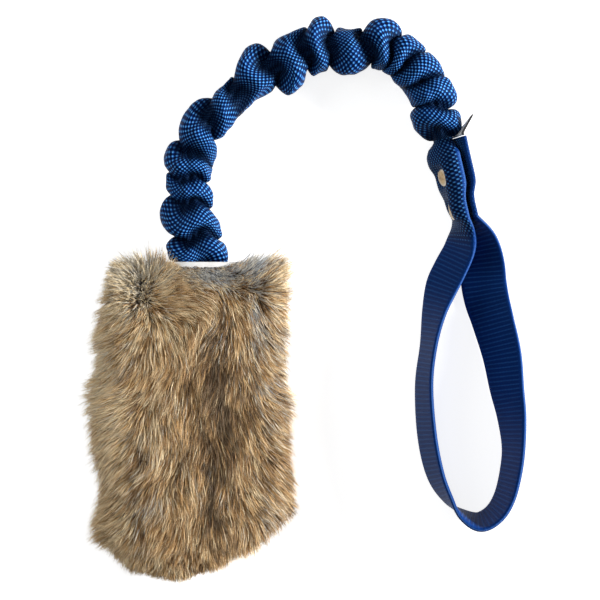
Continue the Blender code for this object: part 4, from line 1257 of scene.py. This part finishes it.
# Which way the hair runs: across and down as shares of the pouch, then the way in degrees, 0 to the right
FLOW_SHARES = (
    (-0.48, 0.00, 175), (-0.38, -0.03, 130), (-0.22, 0.00, 92), (-0.45, 0.10, 190), (-0.35, 0.04, 150),
    (-0.37, 0.09, 188), (-0.36, 0.14, 222), (-0.31, 0.17, -98), (-0.25, 0.15, -50), (-0.25, 0.10, 15),
    (-0.25, 0.05, 52), (-0.16, 0.05, 8), (-0.17, 0.11, -25), (-0.05, 0.05, -10), (0.05, 0.06, -35),
    (-0.12, 0.11, -30), (0.06, 0.14, -120), (0.25, 0.02, 80), (0.27, 0.12, -80), (0.38, 0.00, 50),
    (0.44, 0.06, 15), (0.42, 0.15, -25), (0.45, 0.28, -40), (0.44, 0.42, -30), (0.46, 0.55, -25),
    (-0.46, 0.22, 200), (-0.40, 0.24, 215), (-0.50, 0.36, 190), (-0.42, 0.40, 205), (-0.50, 0.50, 210),
    (-0.34, 0.30, 240), (-0.36, 0.52, 240), (-0.44, 0.66, 235), (-0.46, 0.80, 220), (-0.30, 0.80, 245),
    (-0.14, 0.24, -92), (-0.02, 0.24, -104), (0.10, 0.24, -122), (0.20, 0.26, -95), (0.30, 0.28, -60),
    (-0.16, 0.44, -95), (0.00, 0.44, -88), (0.14, 0.42, -100), (0.28, 0.46, -72),
    (-0.12, 0.64, -100), (0.04, 0.64, -92), (0.18, 0.62, -88), (0.34, 0.64, -66), (0.46, 0.70, -48),
    (-0.14, 0.86, -104), (0.02, 0.86, -96), (0.20, 0.84, -84), (0.36, 0.80, -64), (0.50, 0.80, -40),
    (-0.30, 0.96, -118), (-0.08, 1.00, -100), (0.14, 0.98, -88), (0.30, 0.92, -62),
)
FLOW_REACH = 0.085
# Beyond that reach every place in the table still counts a little, the nearer the more
FAR_WEIGHT = 1e-4
FAR_EASE = 1e-3
# How far the ways round a place agree where the hair parts fully, and from where on it doesn't part
PARTING_SHARES = (0.1, 0.75)

# Patches of tone: across, down, half width and half length in shares, then the change and how grey it is.
# The broad pale patches at the left side are painted light, and the long narrow dark streaks are painted
# shade in the clefts between clumps; the rest are the fur's own tones
TONE_LIGHT_AND_SHADE_PATCHES = (
    (-0.317, 0.082, 0.05, 0.04, 0.16, 0.0), (0.01, 0.49, 0.17, 0.28, -0.18, -0.05),
    (-0.38, 0.00, 0.17, 0.10, 0.45, 0.55), (-0.31, 0.08, 0.02, 0.06, -0.05, 0.4),
    (-0.26, 0.05, 0.05, 0.05, 0.02, 0.4), (0.07, 0.032, 0.20, 0.036, 0.20, 1.0),
    (0.25, 0.00, 0.05, 0.05, 0.20, 0.7), (0.27, 0.12, 0.03, 0.10, -0.12, 0.6),
    (-0.10, 0.11, 0.14, 0.05, 0.12, 0.0), (0.38, 0.03, 0.11, 0.10, 0.45, 0.3),
    (0.10, 0.18, 0.05, 0.07, -0.30, 0.1), (0.10, 0.34, 0.05, 0.12, -0.32, 0.0),
    (0.14, 0.50, 0.04, 0.13, -0.30, 0.0), (0.08, 0.72, 0.035, 0.16, -0.32, 0.0),
    (-0.28, 0.60, 0.035, 0.14, -0.34, 0.1), (-0.26, 0.80, 0.05, 0.12, -0.24, 0.1),
    (-0.33, 0.30, 0.04, 0.08, -0.20, 0.1), (-0.10, 0.46, 0.05, 0.10, -0.06, 0.1),
    (0.31, 0.36, 0.035, 0.03, 0.04, 0.5), (-0.22, 0.72, 0.05, 0.04, 0.08, 0.5),
    (0.33, 0.74, 0.05, 0.06, 0.06, 0.4), (-0.14, 0.40, 0.07, 0.10, 0.15, 0.06),
    (-0.42, 0.48, 0.10, 0.20, 0.20, 0.1), (-0.46, 0.28, 0.08, 0.12, 0.20, 0.3),
    (0.36, 0.46, 0.08, 0.12, 0.06, 0.25), (0.38, 0.26, 0.08, 0.12, -0.02, 0.25),
    (0.47, 0.46, 0.04, 0.10, -0.20, 0.0), (0.48, 0.72, 0.05, 0.06, -0.22, 0.1),
    (0.00, 0.66, 0.05, 0.10, 0.08, 0.1), (0.16, 0.30, 0.03, 0.20, -0.16, 0.0),
    (0.20, 0.90, 0.10, 0.05, 0.06, 0.1), (-0.02, 0.94, 0.04, 0.08, -0.14, 0.0),
    (0.24, 0.34, 0.03, 0.12, -0.16, 0.0), (-0.20, 0.55, 0.03, 0.10, -0.14, 0.1),
)


def patch(across, down, x, y, half_width, half_length):
    """A soft spot on the skin, 1 at its middle and 0 far from it."""
    return np.exp(-((across - x) / half_width) ** 2 - ((down - y) / half_length) ** 2)


def flow_way(across, down):
    """The hair's way over the front, a weighted mean of the nearby ways in the table, and its partings."""
    total = np.zeros((len(across), 2))
    whole = np.zeros(len(across))
    aspect = PELT_LENGTH / PELT_WIDTH
    for x, y, degrees in FLOW_SHARES:
        away = (across - x) ** 2 + ((down - y) * aspect) ** 2
        weight = np.exp(-away / (2 * FLOW_REACH ** 2)) + FAR_WEIGHT / (away + FAR_EASE)
        turn = math.radians(degrees)
        total += weight[:, None] * np.array((math.cos(turn), math.sin(turn)))
        whole += weight
    agreed = np.linalg.norm(total, axis=1) / whole
    return unit(total), 1 - smooth_step(*PARTING_SHARES, agreed)


# The fur's mean tone, how it falls from left to right as painted light on the left and painted shade on the
# right against the key lamp from the right, and how far the slow and the quick field change it
TONE = 0.365
PAINTED_LIGHT_FALL = 0.45
SLOW_TONE = 0.05
QUICK_TONE = 0.10
GREYNESS = 0.02
GREY_FIELD = 0.04
# Shares by which the fields draw in places down the pouch, so that their spots are longer than wide
SLOW_STRETCH_SHARE = 0.35
QUICK_STRETCH_SHARE = 0.4
GREY_STRETCH_SHARE = 0.5


def tone_at(across, down, fields):
    """The hair's brown tone and how grey it is."""
    slow, quick = fields
    x, y = across * PELT_WIDTH, down * PELT_LENGTH
    # Painted light and shade: paler to the left, darker to the right
    tone = TONE - PAINTED_LIGHT_FALL * across + SLOW_TONE * wave_field(slow, x, y * SLOW_STRETCH_SHARE)
    tone = tone + QUICK_TONE * wave_field(quick, x, y * QUICK_STRETCH_SHARE)
    grey = GREYNESS + GREY_FIELD * wave_field(slow, y * GREY_STRETCH_SHARE, x)
    # Patches add the fur's own tones, painted light at the left side and painted shade in the clefts
    for *spot, change, greyness in TONE_LIGHT_AND_SHADE_PATCHES:
        share = patch(across, down, *spot)
        tone = tone + change * share
        grey = grey + greyness * share
    return tone, np.clip(grey, 0.0, 1.0)


SAMPLE_COLUMNS = 90
SAMPLE_ROWS = 130


def skin_samples(pelt, rng, count, side):
    """Roots over one skin, evenly by area: places, normals and shares across and down."""
    us = (1 - np.cos(math.pi * np.linspace(0.0, 1.0, SAMPLE_COLUMNS + 1))) / 2
    rings = [pelt.skin(us, v, RIM_INSET) for v in np.linspace(BARE_BAND_SHARE, 1.0, SAMPLE_ROWS + 1)]
    grid = np.array([ring[0] for ring in rings]) * (1, 1, side)
    shares = np.array([ring[1] for ring in rings])
    a, b, c, d = grid[:-1, :-1], grid[:-1, 1:], grid[1:, :-1], grid[1:, 1:]
    normal = np.cross(b - a, c - a) + np.cross(c - d, b - d)
    area = np.linalg.norm(normal, axis=2).ravel()
    normal = unit(normal).reshape(-1, 3)
    normal[side * normal[:, 2] < 0] *= -1.0
    pick = rng.choice(len(area), count, p=area / area.sum())
    row, column = np.divmod(pick, SAMPLE_COLUMNS)
    s, t = rng.uniform(0, 1, (2, count, 1))

    def mixed(g):
        top = g[row, column] * (1 - s) + g[row, column + 1] * s
        low = g[row + 1, column] * (1 - s) + g[row + 1, column + 1] * s
        return top * (1 - t) + low * t

    share = mixed(shares)
    return mixed(grid), normal[pick], share[:, 0], share[:, 1]


HAIR_POINTS = 5
HAIR_TAPER = (0.75, 1.0, 0.9, 0.6, 0.0)
# A hair's half width on the map of tones, and the part of the map that is used
HAIR_MAP_HALF = 0.004
HAIR_MAP_ENDS = (0.001, 0.999)
# Spread of the hairs' lengths, lifts and widths, as shares of their layer's own
LENGTH_SHARES = (0.72, 1.18)
LIFT_SHARES = (0.5, 1.5)
WIDTH_SHARES = (0.7, 1.3)
# How much the hair's length changes from place to place
LENGTH_FIELD = 0.12
# How a hair droops, bends aside and waves on its way to the tip, and how far it rolls about itself
HAIR_DROOP = 0.4
HAIR_BEND = 0.05
HAIR_WAVE_TURN = 5.0
HAIR_ROLL = 0.55
# Least height of a hair over the floor, in millimetres
HAIR_CLEARANCE_MM = (0.25, 0.85)
# Size of the tufts and of the locks in them, across and down, how strongly a tuft pulls its tips together,
# how far the bounds stray, and from how many hairs on a lock pulls with all its strength
TUFT = (4.4 * MM, 6.5 * MM)
TUFT_CLUMP = 0.24
LOCK = (1.4 * MM, 2.4 * MM)
LOCK_STRAY = 1.0 * MM
LOCK_HAIRS = 3.0
LOCK_POWER = 1.4
# Spread of tone from lock to lock and from hair to hair, and how many hairs are paler by how much
LOCK_TONE = 0.19
HAIR_TONE = 0.12
PALE_SHARE = 0.14
PALE_CHANGE = 0.22
# The browns' part of the table of tones, then the greys' part, and where the greyest hairs lie
BROWN_ENDS = (0.02, 0.68)
GREY_LOW = 0.75
GREY_TOP = 0.99
GREY_HIGH = 0.95
# A grey hair is warmer where the brown around it is paler, by this much
GREY_FOLLOWS = 0.2
GREY_STRAY = 0.03
# How far the hair's way turns from place to place, strays from hair to hair, leans out where the skin falls
# away and spreads on the back
WAY_FIELD = 0.26
WAY_STRAY = 0.19
WAY_OUTWARD = 1.1
BACK_SPREAD = 0.9
# How far hair at a parting stands up, and how much shorter it is
PARTING_LIFT = math.radians(42)
PARTING_SHORTENING = 0.35
# Short hair over the sleeve at the mouth: how short, over which shares down, and its middle and half width
MOUTH_COVER = 0.74
COVER_DOWN_SHARES = (0.006, 0.11)
COVER_MIDDLE_SHARE = 0.02
COVER_HALF_SHARE = 0.205
COVER_POWER = 4
# How much shorter the hair is along the top, and over how much of the pouch's length
TOP_SHORTENING = 0.30
TOP_RUN_SHARE = 0.05
# Short hair at the upper left corner: across, down, half width and half length
CORNER_SHORTENING = 0.75
CORNER_SHARES = (-0.50, 0.0, 0.13, 0.11)
FOOT_SHORTENING = 0.45
FOOT_SHARES = (0.80, 0.95)
# Tufts of longer hair: across, down, half width and half length in shares, then how much longer
LONGER_SHARES = (
    (-0.24, 0.00, 0.07, 0.04, 0.60), (0.28, 0.00, 0.11, 0.04, 0.50), (-0.33, 0.00, 0.06, 0.04, 0.60),
    (0.52, 0.73, 0.06, 0.05, 0.60),
)


def hair_ways(side, normal, across, down, x, y, field, rng):
    """The way in which each hair lies on the skin, the way across it, and how much it is at a parting."""
    flat = np.zeros(len(across))
    if side > 0:
        way, parting = flow_way(across, down)
    else:
        way, parting = unit(np.column_stack([BACK_SPREAD * across, flat - 1])), flat
    turn = WAY_FIELD * wave_field(field, x, y) + (WAY_STRAY + parting) * rng.normal(0, 1, len(across))
    cos, sin = np.cos(turn), np.sin(turn)
    way = np.column_stack([way[:, 0] * cos - way[:, 1] * sin, way[:, 0] * sin + way[:, 1] * cos, flat])
    outward = np.column_stack([normal[:, :2], flat])
    way = unit(way + outward * WAY_OUTWARD)
    lay = unit(way - normal * (way * normal).sum(axis=1)[:, None])
    return lay, np.cross(normal, lay), parting


def gather_locks(points, x, y, size_of_lock, clump, field):
    """Draws the tips of the hairs of each small cell of skin together. Also gives each hair's cell."""
    strayed = np.column_stack([
        x + LOCK_STRAY * wave_field(field, x, y),
        y + LOCK_STRAY * wave_field(field, y, x),
    ])
    cell = np.floor(strayed / size_of_lock).astype(int)
    cell -= cell.min(axis=0)
    _, lock = np.unique(cell[:, 0] * (cell[:, 1].max() + 1) + cell[:, 1], return_inverse=True)
    size = np.bincount(lock)
    tip = points[:, -1]
    mean = np.stack([np.bincount(lock, tip[:, i]) / size for i in range(3)], axis=1)
    pull = clump * np.clip(size / LOCK_HAIRS, 0.0, 1.0)[lock]
    t = np.linspace(0.0, 1.0, HAIR_POINTS)
    shift = (mean[lock] - tip) * pull[:, None]
    return points + shift[:, None, :] * (t ** LOCK_POWER)[None, :, None], lock


def hair_tones(across, down, lock, fields, change, rng):
    """Each hair's place in the table of tones."""
    count = len(across)
    tone, grey = tone_at(across, down, fields)
    tone = tone + LOCK_TONE * rng.normal(0, 1, lock.max() + 1)[lock]
    tone = tone + HAIR_TONE * rng.normal(0, 1, count) + change
    tone = np.where(rng.uniform(0, 1, count) < PALE_SHARE, tone + PALE_CHANGE, tone)
    grey_tone = GREY_LOW + (GREY_HIGH - GREY_LOW) * grey - GREY_FOLLOWS * (tone - TONE)
    grey_tone = grey_tone + rng.normal(0, GREY_STRAY, count)
    is_grey = rng.uniform(0, 1, count) < grey
    return np.where(is_grey, np.clip(grey_tone, GREY_LOW, GREY_TOP), np.clip(tone, *BROWN_ENDS))


def hair_mesh(name, points, flat, half, tones, material):
    """Narrow ribbons that taper to a point, with the tone across the map and the length up it."""
    count = len(points)
    last = HAIR_POINTS - 1
    offset = flat * half[:, None, None] * np.array(HAIR_TAPER)[None, :, None]
    pairs = np.stack([points - offset, points + offset], axis=2)[:, :last]
    vertices = np.concatenate([pairs.reshape(count, 2 * last, 3), points[:, last:]], axis=1)
    corners = [(2 * i, 2 * i + 1, 2 * i + 3, 2 * i + 2) for i in range(last - 1)]
    corners.append((2 * last - 2, 2 * last - 1, 2 * last))
    corner = np.concatenate(corners)
    loops = (np.arange(count) * (2 * last + 1))[:, None] + corner
    sizes = np.tile([len(face) for face in corners], count)

    mesh = bpy.data.meshes.new(name)
    mesh.vertices.add(count * (2 * last + 1))
    mesh.vertices.foreach_set("co", vertices.astype(np.float32).ravel())
    mesh.loops.add(loops.size)
    mesh.loops.foreach_set("vertex_index", loops.astype(np.int32).ravel())
    mesh.polygons.add(len(sizes))
    mesh.polygons.foreach_set("loop_start", (np.cumsum(sizes) - sizes).astype(np.int32))
    mesh.update(calc_edges=True)

    sideways = np.append(np.tile([-HAIR_MAP_HALF, HAIR_MAP_HALF], last), 0.0)
    upward = np.append(np.repeat(np.linspace(0.0, 1.0, HAIR_POINTS)[:last], 2), 1.0)
    uv = np.empty((count, len(corner), 2), np.float32)
    uv[..., 0] = tones[:, None] + sideways[corner]
    uv[..., 1] = upward[corner]
    layer = mesh.uv_layers.new(name="OFBake")
    layer.data.foreach_set("uv", np.clip(uv, *HAIR_MAP_ENDS).ravel())
    mesh.validate()
    mesh.shade_smooth()
    return object_of(name, mesh, [material])


def grow(name, roots, rng, side, length, width, lift, clump, wave, change, fields, material, origin):
    """Hair that leaves the skin, bends along the flow and gathers in locks."""
    place, normal, across, down = roots
    count = len(place)
    x, y = place[:, 0], place[:, 1]
    lay, sideways, parting = hair_ways(side, normal, across, down, x, y, fields[2], rng)

    reach = length * rng.uniform(*LENGTH_SHARES, count) * (1 + LENGTH_FIELD * wave_field(fields[2], y, x))
    over_mouth = np.exp(-((across - COVER_MIDDLE_SHARE) / COVER_HALF_SHARE) ** COVER_POWER)
    over_mouth = (1 - smooth_step(*COVER_DOWN_SHARES, down)) * over_mouth
    reach = reach * (1 - MOUTH_COVER * over_mouth) * (1 - TOP_SHORTENING * np.exp(-down / TOP_RUN_SHARE))
    reach = reach * (1 - CORNER_SHORTENING * patch(across, down, *CORNER_SHARES))
    reach = reach * (1 - FOOT_SHORTENING * smooth_step(*FOOT_SHARES, down))
    reach = reach * (1 - PARTING_SHORTENING * parting)
    for *spot, more in LONGER_SHARES:
        reach = reach * (1 + more * patch(across, down, *spot))
    rise = lift * rng.uniform(*LIFT_SHARES, count) + PARTING_LIFT * parting
    start = rng.uniform(0, 2 * math.pi, count)[:, None]
    t = np.linspace(0.0, 1.0, HAIR_POINTS)[None, :]
    forward = reach[:, None] * t * np.cos(rise)[:, None]
    up = (reach * np.sin(rise))[:, None] * (t - HAIR_DROOP * t * t)
    bend = HAIR_BEND * (reach * rng.normal(0, 1, count))[:, None] * t * t
    swing = wave * (np.sin(start + HAIR_WAVE_TURN * t) - np.sin(start)) + bend
    points = place[:, None, :] + lay[:, None, :] * forward[..., None]
    points = points + normal[:, None, :] * up[..., None] + sideways[:, None, :] * swing[..., None]

    points, _ = gather_locks(points, x, y, TUFT, TUFT_CLUMP, fields[3])
    points, lock = gather_locks(points, x, y, LOCK, clump, fields[3])
    points = points + origin
    above_floor = MM * rng.uniform(*HAIR_CLEARANCE_MM, count)[:, None]
    points[..., 2] = np.maximum(points[..., 2], above_floor)

    roll = rng.normal(0, HAIR_ROLL, count)[:, None, None]
    face = normal[:, None, :] * np.cos(roll) + sideways[:, None, :] * np.sin(roll)
    flat = unit(np.cross(np.gradient(points, axis=1), face))
    half = width / 2 * rng.uniform(*WIDTH_SHARES, count)
    tones = hair_tones(across, down, lock, fields[:2], change, rng)
    piece = hair_mesh(name, points, flat, half, tones, material)
    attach(piece, "pelt")


# Layers of the coat: name, skin, hairs, length, width, lift in degrees, clumping, waviness, tone
COAT = (
    # The down layers' lower tone is partly their own darker hair and partly painted shade deep in the coat
    ("down_front", 1, 26000, 8.0 * MM, 0.40 * MM, 36, 0.20, 0.3 * MM, -0.24),
    ("coat_front_1", 1, 27000, 12.5 * MM, 0.29 * MM, 30, 0.55, 0.3 * MM, -0.06),
    ("coat_front_2", 1, 27000, 15.0 * MM, 0.26 * MM, 28, 0.62, 0.4 * MM, 0.02),
    ("guard_front", 1, 20000, 18.0 * MM, 0.23 * MM, 27, 0.50, 0.5 * MM, 0.12),
    ("down_back", -1, 16000, 8.0 * MM, 0.45 * MM, 24, 0.25, 0.5 * MM, -0.15),
    ("coat_back", -1, 24000, 13.0 * MM, 0.36 * MM, 18, 0.60, 0.7 * MM, 0.0),
)
# Random fields of the fur: slow and quick ones for tone, then for its way and length, and for its locks
FUR_WAVES = (
    (8, 18 * MM, 45 * MM), (12, 3.5 * MM, 8 * MM), (9, 14 * MM, 40 * MM), (9, 7 * MM, 18 * MM),
)


def build_fur(pelt, hair):
    """The coat on both skins, layer by layer."""
    rng = np.random.default_rng(SEED + 1)
    fields = [waves(rng, *row) for row in FUR_WAVES]
    for name, side, count, length, width, lift, clump, wave, tone in COAT:
        roots = skin_samples(pelt, rng, count, side)
        grow(
            "fur_" + name, roots, rng, side, length, width, math.radians(lift), clump, wave, tone,
            fields, hair, pelt.origin,
        )


# The tail is flat from this share of its length on
TAIL_FLAT_SHARE = 0.55
TAIL_ROW_STEP = 0.5 * MM


def build_tail(arch, pelt, webbing):
    """The sleeve's flat end inside the pouch, from a tube at the mouth to pressed webbing."""
    flat, _, round_one = strap_sections()
    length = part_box("webbing_tail")[1][1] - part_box("webbing_tail")[0][1]
    neck = ELASTIC_DIAMETER + 2 * TUBE_WALL
    flat_at = TAIL_FLAT_SHARE * length
    start = arch.at(arch.length)
    places = np.arange(0.0, length, TAIL_ROW_STEP)
    rings = []
    for d in places:
        share = float(smooth_step(0.0, flat_at, d))
        section = round_one + (flat - round_one) * share
        x, z = (
            section[:, i] * eased(((0.0, neck), (flat_at, end)), d) / 2
            for i, end in enumerate((WEBBING_WIDTH, WEBBING_THICKNESS))
        )
        rings.append(start + np.column_stack([x, np.full(len(section), -d), z]))
    points = np.array(rings)
    u = np.linspace(0.0, SLEEVE_GIRTH, points.shape[1] + 1)
    piece = grid_mesh("pressed_tail", points, (u, places), [webbing], caps=(False, True))
    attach(piece, "pelt")
    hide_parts("webbing_tail")


def finish_kept(thread, elastic):
    """Pieces whose solids already have their shape: they get a braided or twisted finish."""
    for name in ("seam_thread", "tail_thread_front", "tail_thread_back", "elastic_end"):
        materials = frame["nodes"][name].data.materials
        materials.clear()
        materials.append(elastic if name == "elastic_end" else thread)


# Surroundings


FLOOR_REACH = 4.0
FLOOR_GLOW = 0.82
WORLD_GLOW = 0.15
WHITE = (1.0, 1.0, 1.0, 1.0)


def build_stage():
    """A pale floor that keeps the toy's shadow, and a world that is white where the camera sees it."""
    mesh = bpy.data.meshes.new("floor")
    corners = [(FLOOR_REACH * x, FLOOR_REACH * y, 0.0) for x, y in ((-1, -1), (1, -1), (1, 1), (-1, 1))]
    mesh.from_pydata(corners, [], [(0, 1, 2, 3)])
    m = Surface("floor_white", (0.55, 0.55, 0.55), 0.9, Specular_IOR_Level=0.0, Emission_Color=WHITE)
    path = m.add("LightPath")
    seen = m.math("MAXIMUM", path.outputs["Is Camera Ray"], path.outputs["Is Glossy Ray"])
    seen = m.math("MAXIMUM", seen, path.outputs["Is Transmission Ray"])
    m.put(m.math("MULTIPLY", seen, FLOOR_GLOW), m.shader.inputs["Emission Strength"])
    floor = object_of("floor", mesh, [m.material])

    world = bpy.data.worlds.new("studio")
    bpy.context.scene.world = world
    w = Nodes(world)
    path = w.add("LightPath")
    seen = w.math("MAXIMUM", path.outputs["Is Camera Ray"], path.outputs["Is Transmission Ray"])
    background = w.tree.nodes["Background"]
    w.put(w.between(seen, 0.0, 1.0, WORLD_GLOW, 1.0, smooth=False), background.inputs["Strength"])
    background.inputs["Color"].default_value = WHITE


# Lamps: where each stands, its width, its power and its colour
LAMPS = (
    ("key", (2.10, 0.27, 0.64), 0.5, 118.0, (1.0, 0.985, 0.96)),
    ("top", (0.00, 0.10, 1.6), 0.9, 2.2, (1.0, 1.0, 1.0)),
    ("fill", (-0.8, 0.5, 0.7), 0.8, 4.6, (0.95, 0.98, 1.0)),
)


def build_lights():
    """Round lamps, each turned to the origin."""
    for name, place, size, power, colour in LAMPS:
        lamp = bpy.data.lights.new(name, "AREA")
        lamp.shape = "DISK"
        lamp.size = size
        lamp.energy = power
        lamp.color = colour
        stand = object_of(name, lamp)
        stand.location = place
        stand.rotation_euler = Vector(place).to_track_quat("Z", "Y").to_euler()


def build_camera():
    """The photograph's camera, straight above the toy."""
    camera = bpy.data.cameras.new("camera")
    camera.sensor_width = SENSOR
    camera.lens = SENSOR * VIEW_HEIGHT / VIEW_SPAN
    camera.clip_start = CLIP_START
    stand = object_of("camera", camera)
    stand.location = (*VIEW_MIDDLE, VIEW_HEIGHT)
    stand.rotation_euler = (0.0, 0.0, 0.0)
    bpy.context.scene.camera = stand
    bpy.context.scene.view_settings.view_transform = "Standard"


def build():
    """The toy's pieces, then its surroundings."""
    neck = joint_place("handle_swing")
    fold = joint_place("pelt_fold")
    # The tip colour is partly a painted highlight on the floats' crowns
    webbing = webbing_material(
        "blue_webbing", gap=(0.0004, 0.002, 0.014), body=(0.0058, 0.054, 0.300), tip=(0.14, 0.52, 1.00),
    )
    arch = Arch(neck, fold)
    handle = Handle(neck)
    pelt = Pelt(fold)
    build_bungee(arch, webbing, elastic_material("elastic_cord", mapped=True))
    build_strap(handle, webbing)
    build_rivets(handle, metal_material())
    build_label(handle, label_material())
    build_pouch(pelt, underfur_material(), bare_hide_material())
    build_tail(arch, pelt, webbing)
    build_fur(pelt, hair_material())
    finish_kept(thread_material(), elastic_material("elastic_end", mapped=False))
    build_stage()
    build_lights()
    build_camera()


build()

bpy.context.view_layer.update()
